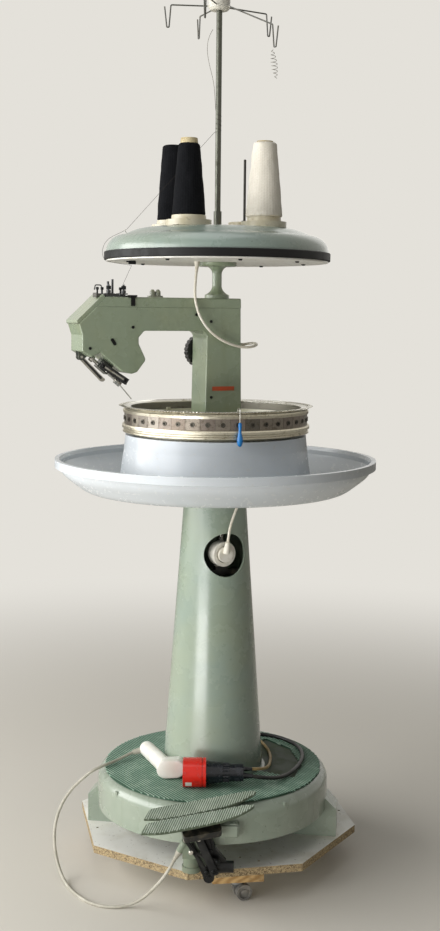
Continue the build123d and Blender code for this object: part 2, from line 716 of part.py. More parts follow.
# Dish inside the dial, with a round collar and a small guard beside it
with BuildPart() as inner_pan:
    with BuildSketch(Plane.XZ):
        with BuildLine():
            Polyline(
                (PAN_BORE_R, PAN_Z), (PAN_R - 2, PAN_Z), (PAN_R, PAN_Z + PAN_RIM),
                (PAN_R - PAN_WALL, PAN_Z + PAN_RIM), (PAN_R - PAN_WALL - 8, PAN_Z + PAN_WALL),
                (PAN_BORE_R, PAN_Z + PAN_WALL),
                close=True,
            )
        make_face()
    revolve(axis=Axis.Z)
    with BuildSketch(Plane.XY.offset(PAN_Z + PAN_WALL)):
        with Locations(polar(*COLLAR_AT)):
            Circle(COLLAR_R)
            Circle(COLLAR_R - 6, mode=Mode.SUBTRACT)
    extrude(amount=COLLAR_HIGH)
    with BuildSketch(Plane.XY.offset(PAN_Z + PAN_WALL)):
        with Locations(Location(polar(*GUARD_AT), (0, 0, 30))):
            Rectangle(9, 3)
    extrude(amount=GUARD_HIGH)
save(inner_pan.part, "inner_pan")

# Dial: drum, brass rings, clamp plates with their screws, and the points
with BuildPart() as dial_drum:
    with BuildSketch(Plane.XZ):
        with BuildLine():
            inner = PLATE_R - PLATE_THICK - DRUM_WALL
            Polyline(
                (BEARING_R + RUN_GAP, LOW_RING_LOW), (PLATE_R - PLATE_THICK, LOW_RING_LOW),
                (PLATE_R - PLATE_THICK, DIAL_TOP - DIAL_FLANGE - 5),
                (inner, DIAL_TOP - DIAL_FLANGE - 5), (inner, PAN_Z - 1),
                (BEARING_R + RUN_GAP, PAN_Z - 1),
                close=True,
            )
        make_face()
    revolve(axis=Axis.Z)
save(dial_drum.part, "dial_drum")

with BuildPart() as dial_rings:
    with BuildSketch(Plane.XZ):
        with BuildLine():
            ring_in = PLATE_R - PLATE_THICK + RUN_GAP
            Polyline(
                (ring_in, PLATE_LOW - 0.1), (LOW_RING_R - 1, PLATE_LOW - 0.1),
                (LOW_RING_R, PLATE_LOW - 3), (LOW_RING_R, PLATE_LOW - 8),
                (LOW_RING_R - 4, PLATE_LOW - 10), (LOW_RING_R - 4, PLATE_LOW - 13),
                (LOW_RING_R - 1.5, PLATE_LOW - 14.5), (LOW_RING_R - 1.5, LOW_RING_LOW),
                (ring_in, LOW_RING_LOW), close=True,
            )
        make_face()
        with BuildLine():
            Polyline(
                (ring_in, TOP_RING_LOW + 0.1), (TOP_RING_R, TOP_RING_LOW + 0.1),
                (TOP_RING_R + 0.5, TOP_RING_LOW + 6), (TOP_RING_R - 3, TOP_RING_LOW + 9),
                (ring_in, TOP_RING_LOW + 9), close=True,
            )
        make_face()
    revolve(axis=Axis.Z)
save(dial_rings.part, "dial_rings")

POINT_ROOT_R = DIAL_R - DIAL_POINT
with BuildPart() as dial_points:
    with BuildSketch(Plane.XZ):
        with BuildLine():
            Polyline(
                (PLATE_R - PLATE_THICK - DRUM_WALL, DIAL_TOP - DIAL_FLANGE - 4.9),
                (ring_in + 1, DIAL_TOP - DIAL_FLANGE - 4.9), (POINT_ROOT_R, DIAL_TOP - 4),
                (POINT_ROOT_R, DIAL_TOP - 2), (ring_in, DIAL_TOP - DIAL_FLANGE - 2.5),
                (PLATE_R - PLATE_THICK - DRUM_WALL, DIAL_TOP - DIAL_FLANGE - 2.5),
                close=True,
            )
        make_face()
    revolve(axis=Axis.Z)
    with BuildSketch(Plane.XY.offset(DIAL_TOP - 3.6)):
        with PolarLocations(POINT_ROOT_R - 1, DIAL_COMB):
            Polygon(
                (0, -1.6), (DIAL_POINT + 1, -0.4), (DIAL_POINT + 1, 0.4), (0, 1.6), align=None,
            )
    extrude(amount=1.6)
save(dial_points.part, "dial_points")

PLATE_TURN = 360 / PLATE_COUNT
with BuildPart() as segment_plates:
    with BuildSketch(Plane.XY.offset(PLATE_LOW)):
        Circle(PLATE_R)
        Circle(PLATE_R - PLATE_THICK + RUN_GAP, mode=Mode.SUBTRACT)
        with PolarLocations(PLATE_R, PLATE_COUNT):
            Rectangle(4 * PLATE_THICK, 2 * PLATE_SLIT, mode=Mode.SUBTRACT)
    extrude(amount=TOP_RING_LOW - PLATE_LOW)
    with PolarLocations(0, PLATE_COUNT, start_angle=PLATE_TURN / 2):
        with Locations(Location((PLATE_R, 0, (PLATE_LOW + TOP_RING_LOW) / 2), (0, 90, 0))):
            Cylinder(SCREW_HEAD_R - 1.6, 4 * PLATE_THICK, mode=Mode.SUBTRACT)
save(segment_plates.part, "segment_plates")

with BuildPart() as segment_screws:
    with PolarLocations(0, PLATE_COUNT, start_angle=PLATE_TURN / 2):
        with Locations(Location((PLATE_R + 0.02, 0, (PLATE_LOW + TOP_RING_LOW) / 2), (0, 90, 0))):
            Cylinder(
                SCREW_HEAD_R - 2, PLATE_THICK - 0.4,
                align=(Align.CENTER, Align.CENTER, Align.MAX),
            )
            Cylinder(
                SCREW_HEAD_R, SCREW_HEAD_HIGH,
                align=(Align.CENTER, Align.CENTER, Align.MIN),
            )
            Cylinder(
                SCREW_HEAD_R - 2.6, SCREW_HEAD_HIGH + 2,
                align=(Align.CENTER, Align.CENTER, Align.CENTER), mode=Mode.SUBTRACT,
            )
save(segment_screws.part, "segment_screws")

tool_plane = upright(TOOL_AZIMUTH)
tool_r = DIAL_R + TOOL_HANDLE_R + 1.5
with BuildPart() as hook_tool:
    with BuildSketch(tool_plane):
        with BuildLine():
            Polyline((tool_r, TOOL_LOW), (tool_r, TOOL_LOW + TOOL_HANDLE))
            Spline(
                (tool_r, TOOL_LOW + TOOL_HANDLE), (tool_r + 3.2, TOOL_LOW + TOOL_HANDLE - 14),
                (tool_r + TOOL_HANDLE_R, TOOL_LOW + 14), (tool_r, TOOL_LOW),
                tangents=[(1, 0), (-1, 0)],
            )
        make_face()
    revolve(axis=Axis(origin=polar(tool_r, TOOL_AZIMUTH), direction=(0, 0, 1)))
    with BuildLine():
        FilletPolyline(
            polar(tool_r, TOOL_AZIMUTH, TOOL_LOW + TOOL_HANDLE - 2),
            polar(tool_r, TOOL_AZIMUTH, DIAL_TOP + 6),
            polar(POINT_ROOT_R - 3, TOOL_AZIMUTH, DIAL_TOP + 6),
            polar(POINT_ROOT_R - 3, TOOL_AZIMUTH, DIAL_TOP - 0.9),
            radius=5,
        )
    with BuildSketch(Plane(origin=polar(tool_r, TOOL_AZIMUTH, TOOL_LOW + TOOL_HANDLE - 2))):
        Circle(TOOL_WIRE_R)
    sweep()
save(hook_tool.part, "hook_tool")

def edges_across(part, u, z):
    """Edges that cross the head from front to back at one corner of its outline."""
    spot = Vector(*head_point(u, z))
    across = part.edges().filter_by(Axis(head_point(0, 0), polar(1, HEAD_AZIMUTH - 90)))
    return [edge for edge in across if (edge.center() - spot).length < 1.0]


# Head casting: post and arm in one, open inside for the shafts
HEAD_CORNERS = {
    (POST_TOP_HALF, ARM_UNDER): 16, (203, 1232): 14, (186, 1197): 10, (207, 1170): 7,
    (220, 1166): 8, (243, 1172): 6, (190, ARM_UNDER): 8,
}
with BuildPart() as head_casting:
    with BuildSketch(head_plane()):
        with BuildLine():
            Polyline(
                (-POST_LOW_HALF, POST_LOW), (-POST_TOP_HALF, LID_SEAM),
                (300.4, LID_SEAM), NOSE_TIP, (332, 1251), (332, 1216), (311, 1203), (291, 1213),
                (243, 1172), (220, 1166), (207, 1170), (186, 1197), (203, 1232), (203, 1246),
                (190, ARM_UNDER), (POST_TOP_HALF, ARM_UNDER), (POST_LOW_HALF, POST_LOW),
                close=True,
            )
        make_face()
    extrude(amount=HEAD_HALF, both=True)
    for (u, z), size in HEAD_CORNERS.items():
        fillet(edges_across(head_casting, u, z), size)
    rounded = [
        edge for edge in head_casting.edges()
        if abs(abs(head_plane().to_local_coords(edge.center()).Z) - HEAD_HALF) < 0.01
        and POST_LOW + 1 < edge.center().Z < LID_SEAM - 1
    ]
    fillet(rounded, HEAD_EDGE)
    with BuildSketch(head_plane()):
        with BuildLine():
            Polyline(
                (-POST_LOW_HALF + HEAD_WALL, POST_LOW - 1),
                (-POST_TOP_HALF + HEAD_WALL, LID_SEAM + 1),
                (284, LID_SEAM + 1), (312, 1278), (270, 1232), (222, 1250),
                (200, ARM_UNDER + HEAD_WALL), (POST_TOP_HALF - HEAD_WALL, ARM_UNDER + HEAD_WALL),
                (POST_LOW_HALF - HEAD_WALL, POST_LOW - 1), close=True,
            )
        make_face()
    extrude(amount=HEAD_HALF - HEAD_WALL, both=True, mode=Mode.SUBTRACT)
    with BuildSketch(head_plane(WHEEL_U, WHEEL_Z)):
        Circle(SHAFT_R + RUN_GAP)
    extrude(amount=HEAD_HALF + 1, mode=Mode.SUBTRACT)
save(head_casting.part, "head_casting")

# Lid, and the cover on the slanted nose
slant = Vector(NOSE_TIP[0] - NOSE_TOP[0], NOSE_TIP[1] - NOSE_TOP[1]).normalized()
slant_out = Vector(-slant.Y, slant.X)


def off_nose(spot, out, down=0.0):
    return (spot[0] + slant_out.X * out + slant.X * down, spot[1] + slant_out.Y * out + slant.Y * down)


with BuildPart() as head_covers:
    with BuildSketch(head_plane()):
        with BuildLine():
            Polyline(
                (-POST_TOP_HALF, LID_SEAM + 0.1), (-POST_TOP_HALF + 0.5, HEAD_TOP), NOSE_TOP,
                (300.0, LID_SEAM + 0.1), close=True,
            )
        make_face()
    extrude(amount=HEAD_HALF, both=True)
    fillet(head_covers.faces().sort_by(Axis.Z)[-1].edges().filter_by(
        Axis(head_point(0, 0), polar(1, HEAD_AZIMUTH))), 5)
    with BuildSketch(head_plane()):
        with BuildLine():
            Polyline(
                off_nose(NOSE_TOP, 0.1, 3), off_nose(NOSE_TOP, COVER_THICK, 1),
                off_nose(NOSE_TIP, COVER_THICK, -3), off_nose(NOSE_TIP, COVER_THICK - 4, 1),
                off_nose(NOSE_TIP, 0.1, 1), close=True,
            )
        make_face()
    extrude(amount=HEAD_HALF - 1.5, both=True)
save(head_covers.part, "head_covers")

# Screw heads on the front, the slot of the nose latch and the lid's clip
front_face = -HEAD_HALF - 0.05
with BuildPart() as head_fittings:
    for u, z in HEAD_SCREWS:
        with BuildSketch(head_plane(u, z, front_face)):
            Circle(HEAD_SCREW_R)
        extrude(amount=-1.6)
        with BuildSketch(head_plane(u, z, front_face - 1.6)):
            Rectangle(2 * HEAD_SCREW_R, 1.0)
        extrude(amount=0.8, mode=Mode.SUBTRACT)
    with BuildSketch(head_plane(261.8, 1236.3, front_face)):
        SlotOverall(17, 7, rotation=55)
    extrude(amount=-1.2)
    with BuildSketch(head_plane(217.3, 1326, front_face)):
        Rectangle(9, 23)
    extrude(amount=-2.4)
    with BuildSketch(head_plane(217.3, HEAD_TOP + 2.1, front_face - 2.4)):
        Rectangle(19, 4)
    extrude(amount=11)
save(head_fittings.part, "head_fittings")

# Oil caps on the arm
with BuildPart() as oil_caps:
    with BuildSketch(head_deck(149.5, HEAD_TOP + 0.05)):
        SlotOverall(36, 20)
    extrude(amount=4)
    for u in OIL_CAPS_U:
        with BuildSketch(head_deck(u, HEAD_TOP + 4)):
            Circle(OIL_CAP_R)
        extrude(amount=OIL_CAP_HIGH)
        with BuildSketch(head_deck(u, HEAD_TOP + 4 + OIL_CAP_HIGH)):
            Circle(OIL_CAP_R)
        extrude(amount=5, taper=38)
save(oil_caps.part, "oil_caps")

# Thread tension unit on the nose: plate, two tall guide posts and two sprung
# disc posts, each with its knurled nut
TENSION_Z = HEAD_TOP + 0.05
with BuildPart() as thread_tension:
    with BuildSketch(head_deck(247, TENSION_Z)):
        RectangleRounded(56, 62, 4)
    extrude(amount=TENSION_PLATE)
    for u, back, top in GUIDE_POSTS:
        with BuildSketch(head_deck(u, TENSION_Z, back)):
            Circle(2.6)
        extrude(amount=top)
        with BuildSketch(head_deck(u, TENSION_Z + TENSION_PLATE, back)):
            Circle(5.5)
        extrude(amount=5)
    for u, back in TENSION_SPOTS.values():
        with BuildSketch(head_deck(u, TENSION_Z, back)):
            Circle(TENSION_POST_R)
        extrude(amount=NUT_LOW + NUT_HIGH + 3 - TENSION_Z)
        for low, radius, high in ((5.0, 9.0, 1.2), (6.8, 9.0, 1.2), (8.4, 5.0, 6.0)):
            with BuildSketch(head_deck(u, TENSION_Z + low, back)):
                Circle(radius)
            extrude(amount=high)
        with BuildSketch(head_deck(u, TENSION_Z, back)):
            Circle(4)
        extrude(amount=6)
    with BuildLine():
        FilletPolyline(
            head_point(270, HEAD_TOP + 1, 16), head_point(270, HEAD_TOP + 26, 16),
            head_point(284, HEAD_TOP + 26, 16), head_point(290, HEAD_TOP + 16, 4),
            radius=4,
        )
    with BuildSketch(head_deck(270, HEAD_TOP + 1, 16)):
        Circle(1.3)
    sweep()
save(thread_tension.part, "thread_tension")

for name, (u, back) in TENSION_SPOTS.items():
    with BuildPart() as nut:
        with BuildSketch(head_deck(u, NUT_LOW, back)):
            Circle(NUT_R)
            with PolarLocations(NUT_R, 14):
                Circle(0.7)
            Circle(TENSION_POST_R + RUN_GAP, mode=Mode.SUBTRACT)
        extrude(amount=NUT_HIGH)
    save(nut.part, name)

# Needle drive under the nose: fixed brackets, the rocker bar and the needle bar
edge_dir = Vector(243 - 291, 1172 - 1213).normalized()
edge_out = Vector(edge_dir.Y, -edge_dir.X)
if edge_out.Y > 0:
    edge_out = edge_out * -1


def by_edge(along, out):
    """A point beside the nose's slanted lower edge, from its upper corner."""
    return (291 + edge_dir.X * along + edge_out.X * out, 1213 + edge_dir.Y * along + edge_out.Y * out)


bar_start = head_point(*by_edge(0, BAR_OUT))
bar_end = head_point(*by_edge(100, BAR_OUT))
bar_dir = (Vector(*bar_end) - Vector(*bar_start)).normalized()
with BuildPart() as needle_guide:
    with BuildSketch(head_plane()):
        with BuildLine():
            Polyline(
                by_edge(GUIDE_FROM, 0.1), by_edge(GUIDE_TO, 0.1),
                by_edge(GUIDE_TO, BAR_OUT + 7), by_edge(GUIDE_FROM, BAR_OUT + 7), close=True,
            )
        make_face()
    extrude(amount=GUIDE_HALF, both=True)
    with BuildSketch(Plane(origin=bar_start, z_dir=bar_dir)):
        Circle(BAR_R + RUN_GAP)
    extrude(amount=100, mode=Mode.SUBTRACT)
    for side in (-1, 1):
        back = side * (ROCKER_HALF + EAR_THICK / 2 + 0.5)
        with BuildSketch(head_plane(0, 0, back)):
            with BuildLine():
                Polyline(
                    (ROCKER_PIN[0] - 6, ROCKER_PIN[1] - 4), (ROCKER_PIN[0] + 6, ROCKER_PIN[1] - 4),
                    (331.5, 1215.6), (312, 1203.5), close=True,
                )
            make_face()
            with Locations(ROCKER_PIN):
                Circle(7)
                Circle(ROCKER_PIN_R + RUN_GAP, mode=Mode.SUBTRACT)
        extrude(amount=EAR_THICK / 2, both=True)
save(needle_guide.part, "needle_guide")

rocker_dir = Vector(ROCKER_END[0] - ROCKER_PIN[0], ROCKER_END[1] - ROCKER_PIN[1])
rocker_turn = degrees(atan2(rocker_dir.Y, rocker_dir.X))
with BuildPart() as rocker_bar:
    with BuildSketch(head_plane(*ROCKER_PIN)):
        with Locations(Location((rocker_dir.X / 2, rocker_dir.Y / 2, 0), (0, 0, rocker_turn))):
            SlotOverall(rocker_dir.length + ROCKER_WIDE + 2, ROCKER_WIDE)
    extrude(amount=ROCKER_HALF, both=True)
    with BuildSketch(head_plane(*ROCKER_PIN)):
        Circle(ROCKER_PIN_R)
    extrude(amount=ROCKER_HALF + EAR_THICK + 3, both=True)
    with BuildSketch(head_plane(*ROCKER_END)):
        Circle(3.5)
    extrude(amount=ROCKER_HALF + 8, both=True)
save(rocker_bar.part, "rocker_bar")

needle_root = head_point(*by_edge(BAR_TO - 6, BAR_OUT + 2))
needle_way = Vector(*head_point(*NEEDLE_TIP)) - Vector(*needle_root)
with BuildPart() as needle_bar:
    with BuildSketch(Plane(origin=head_point(*by_edge(BAR_FROM, BAR_OUT)), z_dir=bar_dir)):
        Circle(BAR_R)
    extrude(amount=BAR_TO - BAR_FROM)
    with BuildSketch(Plane(origin=head_point(*by_edge(BAR_FROM - 6, BAR_OUT)), z_dir=bar_dir)):
        Circle(BAR_COLLAR_R)
    extrude(amount=8)
    with BuildSketch(Plane(origin=head_point(*by_edge(BAR_TO - 16, BAR_OUT)), z_dir=bar_dir)):
        Circle(BAR_CLAMP_R)
    extrude(amount=15)
    with BuildSketch(Plane(origin=needle_root, z_dir=needle_way)):
        Circle(NEEDLE_R)
    extrude(amount=needle_way.length)
save(needle_bar.part, "needle_bar")

# Handwheel at the back and the shaft that it turns
wheel_back = HEAD_HALF + WHEEL_GAP
with BuildPart() as handwheel:
    with BuildSketch(head_plane(WHEEL_U, WHEEL_Z, wheel_back)):
        Circle(HANDWHEEL_R)
    extrude(amount=HANDWHEEL_W)
    with BuildSketch(head_plane(WHEEL_U, WHEEL_Z, wheel_back + HANDWHEEL_W)):
        Circle(HANDWHEEL_R - 6)
        Circle(15, mode=Mode.SUBTRACT)
    extrude(amount=-8, mode=Mode.SUBTRACT)
    with BuildSketch(head_plane(WHEEL_U, WHEEL_Z, wheel_back)):
        with PolarLocations(HANDWHEEL_R + 1.5, 24):
            Circle(3)
    extrude(amount=HANDWHEEL_W, mode=Mode.SUBTRACT)
    with BuildSketch(head_plane(WHEEL_U, WHEEL_Z, wheel_back)):
        Circle(SHAFT_R)
    extrude(amount=HANDWHEEL_W, mode=Mode.SUBTRACT)
save(handwheel.part, "handwheel")

with BuildPart() as main_shaft:
    with BuildSketch(head_plane(WHEEL_U, WHEEL_Z, -HEAD_HALF + HEAD_WALL + 2)):
        Circle(SHAFT_R)
    extrude(amount=2 * HEAD_HALF + WHEEL_GAP + HANDWHEEL_W - HEAD_WALL)
    with BuildSketch(head_plane(WHEEL_U, WHEEL_Z, -GEAR_LENGTH / 2)):
        Circle(GEAR_R - GEAR_TOOTH)
        with PolarLocations(GEAR_R - GEAR_TOOTH, GEAR_TEETH):
            Rectangle(2 * GEAR_TOOTH, GEAR_TOOTH)
    extrude(amount=GEAR_LENGTH)
save(main_shaft.part, "main_shaft")

# Pillar on the head
UNDER_LOW = DISC_LOW - UNDERPLATE - SEAT_GAP / 10
with BuildPart() as pillar:
    with BuildSketch(Plane.XZ):
        with BuildLine():
            Polyline((0, HEAD_TOP + 0.05), (PILLAR_BELL_R, HEAD_TOP + 0.05), (PILLAR_BELL_R, HEAD_TOP + 8))
            Spline(
                (PILLAR_BELL_R, HEAD_TOP + 8), (PILLAR_R + 5, HEAD_TOP + 16), (PILLAR_R, HEAD_TOP + 28),
                tangents=[(-1, 0.4), (-0.1, 1)],
            )
            Polyline((PILLAR_R, HEAD_TOP + 28), (PILLAR_R, UNDER_LOW - PILLAR_FLANGE - 16))
            Spline(
                (PILLAR_R, UNDER_LOW - PILLAR_FLANGE - 16), (PILLAR_R + 4, UNDER_LOW - PILLAR_FLANGE - 6),
                (PILLAR_R + 12, UNDER_LOW - PILLAR_FLANGE),
                tangents=[(0.05, 1), (1, 0.5)],
            )
            Polyline(
                (PILLAR_R + 12, UNDER_LOW - PILLAR_FLANGE), (PILLAR_FLANGE_R - 3, UNDER_LOW - PILLAR_FLANGE),
                (PILLAR_FLANGE_R, UNDER_LOW - PILLAR_FLANGE + 3), (PILLAR_FLANGE_R, UNDER_LOW),
                (0, UNDER_LOW), (0, HEAD_TOP + 0.05),
            )
        make_face()
    revolve(axis=Axis.Z)
save(pillar.part, "pillar")

# Yarn disc: a domed shell with a rubber band and a flat plate under it
SHOULDER_TOP = DISC_LOW + BAND_HIGH + DISC_SHOULDER
with BuildPart() as yarn_disc:
    with BuildSketch(Plane.XZ):
        with BuildLine():
            Polyline((DISC_R, DISC_LOW), (DISC_R, DISC_LOW + BAND_HIGH))
            Spline(
                (DISC_R, DISC_LOW + BAND_HIGH), (DISC_R - 11, SHOULDER_TOP - 12),
                (DISC_R - DISC_SHOULDER, SHOULDER_TOP), (DISC_R - 110, DISC_CROWN - 3),
                (70, DISC_CROWN),
                tangents=[(0, 1), (-1, 0)],
            )
            Polyline(
                (70, DISC_CROWN), (MAST_R + 0.1, DISC_CROWN), (MAST_R + 0.1, DISC_CROWN - DISC_WALL),
                (70, DISC_CROWN - DISC_WALL),
            )
            Spline(
                (70, DISC_CROWN - DISC_WALL), (DISC_R - 110, DISC_CROWN - 3 - DISC_WALL),
                (DISC_R - DISC_SHOULDER, SHOULDER_TOP - DISC_WALL), (DISC_R - 14, SHOULDER_TOP - 16),
                (DISC_R - DISC_WALL, DISC_LOW + BAND_HIGH),
                tangents=[(1, 0), (0, -1)],
            )
            Polyline(
                (DISC_R - DISC_WALL, DISC_LOW + BAND_HIGH), (DISC_R - DISC_WALL, DISC_LOW),
                (DISC_R, DISC_LOW),
            )
        make_face()
    revolve(axis=Axis.Z)
save(yarn_disc.part, "yarn_disc")

with BuildPart() as disc_band:
    with BuildSketch(Plane.XZ):
        with BuildLine():
            Polyline(
                (DISC_R + 0.05, DISC_LOW), (BAND_R - 1, DISC_LOW), (BAND_R, DISC_LOW + 1.5),
                (BAND_R, DISC_LOW + BAND_HIGH - 1.5), (BAND_R - 1, DISC_LOW + BAND_HIGH),
                (DISC_R + 0.05, DISC_LOW + BAND_HIGH), close=True,
            )
        make_face()
    revolve(axis=Axis.Z)
save(disc_band.part, "disc_band")

with BuildPart() as disc_underplate:
    with BuildSketch(Plane.XY.offset(DISC_LOW - SEAT_GAP / 20)):
        Circle(DISC_R - 1)
    extrude(amount=-UNDERPLATE)
    with BuildSketch(Plane.XY.offset(DISC_LOW - UNDERPLATE)):
        Circle(34)
    extrude(amount=16 + UNDERPLATE)
    with BuildSketch(Plane.XY.offset(DISC_LOW + 16)):
        Circle(MAST_R + RUN_GAP)
    extrude(amount=-15, mode=Mode.SUBTRACT)
save(disc_underplate.part, "disc_underplate")

# Mast with its collar, and the guide wires at its head
with BuildPart() as mast:
    with BuildSketch(Plane.XY.offset(DISC_LOW + 1.1)):
        Circle(MAST_R)
    extrude(amount=HUB_LOW + 14 - DISC_LOW)
    with BuildSketch(Plane.XY.offset(DISC_CROWN + PAD_PLATE + 0.3)):
        Circle(MAST_COLLAR_R)
    extrude(amount=MAST_COLLAR)
save(mast.part, "mast")

with BuildPart() as thread_guide:
    with BuildSketch(Plane.XZ):
        with BuildLine():
            Polyline(
                (0, HUB_LOW + HUB_HIGH), (HUB_R - 2, HUB_LOW + HUB_HIGH),
                (HUB_R, HUB_LOW + HUB_HIGH - 3), (HUB_R, HUB_LOW + 5), (HUB_R - 5, HUB_LOW),
                (MAST_R + RUN_GAP, HUB_LOW), (MAST_R + RUN_GAP, HUB_LOW + 16), (0, HUB_LOW + 16),
                close=True,
            )
        make_face()
    revolve(axis=Axis.Z)
    for azimuth, reach, drop in GUIDE_ARMS:
        with BuildLine():
            wire_z = HUB_LOW + 9
            FilletPolyline(
                polar(HUB_R - 4, azimuth, wire_z), polar(reach, azimuth, wire_z - drop),
                polar(reach + 4, azimuth, wire_z - drop - HOOK_DROP),
                polar(reach + 9, azimuth, wire_z - drop - HOOK_DROP),
                polar(reach + 14, azimuth, wire_z - drop - 4),
                radius=[3, 2, 2],
            )
        arm_dir = Vector(*polar(reach, azimuth, -drop)) - Vector(*polar(HUB_R - 4, azimuth))
        with BuildSketch(Plane(origin=polar(HUB_R - 4, azimuth, wire_z), z_dir=arm_dir)):
            Circle(GUIDE_WIRE_R)
        sweep()
save(thread_guide.part, "thread_guide")

# Cone stand: one plate with four stepped pads, and a spindle in each pad
PAD_LOW = DISC_CROWN + SEAT_GAP / 10
with BuildPart() as cone_stand:
    with BuildSketch(Plane.XY.offset(PAD_LOW)):
        Circle(STAND_HUB_R)
        with PolarLocations(CONE_RING_R / 2, 4, start_angle=CONE_FIRST):
            Rectangle(CONE_RING_R, STAND_ARM)
        Circle(MAST_R + 0.1, mode=Mode.SUBTRACT)
    extrude(amount=PAD_PLATE)
    with BuildSketch(Plane.XY.offset(PAD_LOW)):
        with PolarLocations(CONE_RING_R, 4, start_angle=CONE_FIRST):
            Circle(CONE_PAD_R)
    extrude(amount=CONE_PAD)
    with BuildSketch(Plane.XY.offset(PAD_LOW + CONE_PAD)):
        with PolarLocations(CONE_RING_R, 4, start_angle=CONE_FIRST):
            Circle(CONE_STEP_R)
    extrude(amount=CONE_STEP, taper=6)
    with BuildSketch(Plane.XY.offset(PAD_LOW + 4)):
        with PolarLocations(CONE_RING_R, 4, start_angle=CONE_FIRST):
            Circle(SPINDLE_SHANK_R + RUN_GAP)
    extrude(amount=CONE_PAD + CONE_STEP, mode=Mode.SUBTRACT)
save(cone_stand.part, "cone_stand")

CONE_LOW = PAD_LOW + CONE_PAD + CONE_STEP + SEAT_GAP / 10
with BuildPart() as cone_spindles:
    for radius, low, high in (
        (SPINDLE_SHANK_R, PAD_LOW + 4.1, CONE_LOW + 1),
        (SPINDLE_FOOT_R, CONE_LOW, CONE_LOW + SPINDLE_FOOT),
        (SPINDLE_R, CONE_LOW + SPINDLE_FOOT - 1, SPINDLE_TOP),
    ):
        with BuildSketch(Plane.XY.offset(low)):
            with PolarLocations(CONE_RING_R, 4, start_angle=CONE_FIRST):
                Circle(radius)
        extrude(amount=high - low)
    chamfer(cone_spindles.faces().sort_by(Axis.Z)[-4:].edges(), 1)
save(cone_spindles.part, "cone_spindles")

# Yarn cones on three of the spindles, each on its paper core
with BuildPart() as yarn_cones:
    for step in (1, 2, 3):
        x, y, z = polar(CONE_RING_R, CONE_FIRST + 90 * step)
        spot = Plane(origin=(x, y, 0), x_dir=(1, 0, 0), z_dir=(0, -1, 0))
        with BuildSketch(spot):
            with BuildLine():
                Polyline(
                    (CORE_LOW_R, CONE_LOW), (CONE_LOW_R - 3, CONE_LOW), (CONE_LOW_R, CONE_LOW + 4),
                    (CONE_TOP_R, CONE_LOW + CONE_TALL - 3), (CONE_TOP_R - 3, CONE_LOW + CONE_TALL),
                    (CORE_TOP_R, CONE_LOW + CONE_TALL), (CORE_TOP_R - 0.5, CONE_LOW + CONE_TALL + CORE_RISE),
                    (CORE_TOP_R - 0.5 - CORE_WALL, CONE_LOW + CONE_TALL + CORE_RISE),
                    (CORE_LOW_R - CORE_WALL, CONE_LOW), close=True,
                )
            make_face()
        revolve(axis=Axis(origin=(x, y, 0), direction=(0, 0, 1)))
save(yarn_cones.part, "yarn_cones")

# Foot control: two long ribbed pedals on one pin, over a cast body and a pot foot
pedal_x = Vector(cos(radians(PEDAL_AZIMUTH)) * cos(radians(PEDAL_RISE)),
                 sin(radians(PEDAL_AZIMUTH)) * cos(radians(PEDAL_RISE)), sin(radians(PEDAL_RISE)))
pedal_across = Vector(-sin(radians(PEDAL_AZIMUTH)) * cos(radians(PEDAL_ROLL)),
                      cos(radians(PEDAL_AZIMUTH)) * cos(radians(PEDAL_ROLL)), sin(radians(PEDAL_ROLL)))
pedal_up = pedal_x.cross(pedal_across).normalized()
pedal_plane = Plane(origin=PEDAL_ORIGIN, x_dir=pedal_x, z_dir=pedal_up)
pin_plane = Plane(
    origin=pedal_plane.from_local_coords(Vector(PEDAL_PIN_S, -PEDAL_PIN_REACH, -PEDAL_PIN_DROP)),
    x_dir=pedal_x, z_dir=pedal_plane.y_dir,
)


def pedal_half(side):
    """One sole: heel at -X, toe at +X, its straight side to the other pedal."""
    near_edge = side * PEDAL_GAP / 2
    far_edge = side * (PEDAL_GAP / 2 + PEDAL_WIDTH)
    heel = -PEDAL_LENGTH * 0.61
    toe = PEDAL_LENGTH * 0.39
    with BuildPart() as pedal:
        with BuildSketch(pedal_plane):
            with BuildLine():
                Spline(
                    (heel + 6, near_edge + side * 4), (heel, near_edge + side * PEDAL_HEEL_WIDTH * 0.55),
                    (heel + 12, near_edge + side * PEDAL_HEEL_WIDTH),
                    (heel + 78, near_edge + side * PEDAL_WAIST_WIDTH), (toe - 70, far_edge),
                    (toe - 20, far_edge - side * 8), (toe, near_edge + side * PEDAL_WIDTH * 0.45),
                    (toe - 10, near_edge + side * 6),
                )
                Polyline(
                    (toe - 10, near_edge + side * 6), (toe - 30, near_edge), (heel + 22, near_edge),
                    (heel + 6, near_edge + side * 4),
                )
            make_face()
        extrude(amount=-PEDAL_THICK)
        with BuildSketch(pedal_plane.offset(-PEDAL_THICK)):
            with Locations((PEDAL_PIN_S, side * (PEDAL_GAP / 2 + PEDAL_EAR_OFF))):
                Rectangle(16, PEDAL_EAR)
        extrude(amount=-PEDAL_EAR_DROP)
        with BuildSketch(pin_plane):
            Circle(PEDAL_PIN_R + RUN_GAP)
        extrude(amount=PEDAL_PIN_LENGTH + PEDAL_EAR, mode=Mode.SUBTRACT)
    return pedal.part


save(pedal_half(1), "pedal_left")
save(pedal_half(-1), "pedal_right")

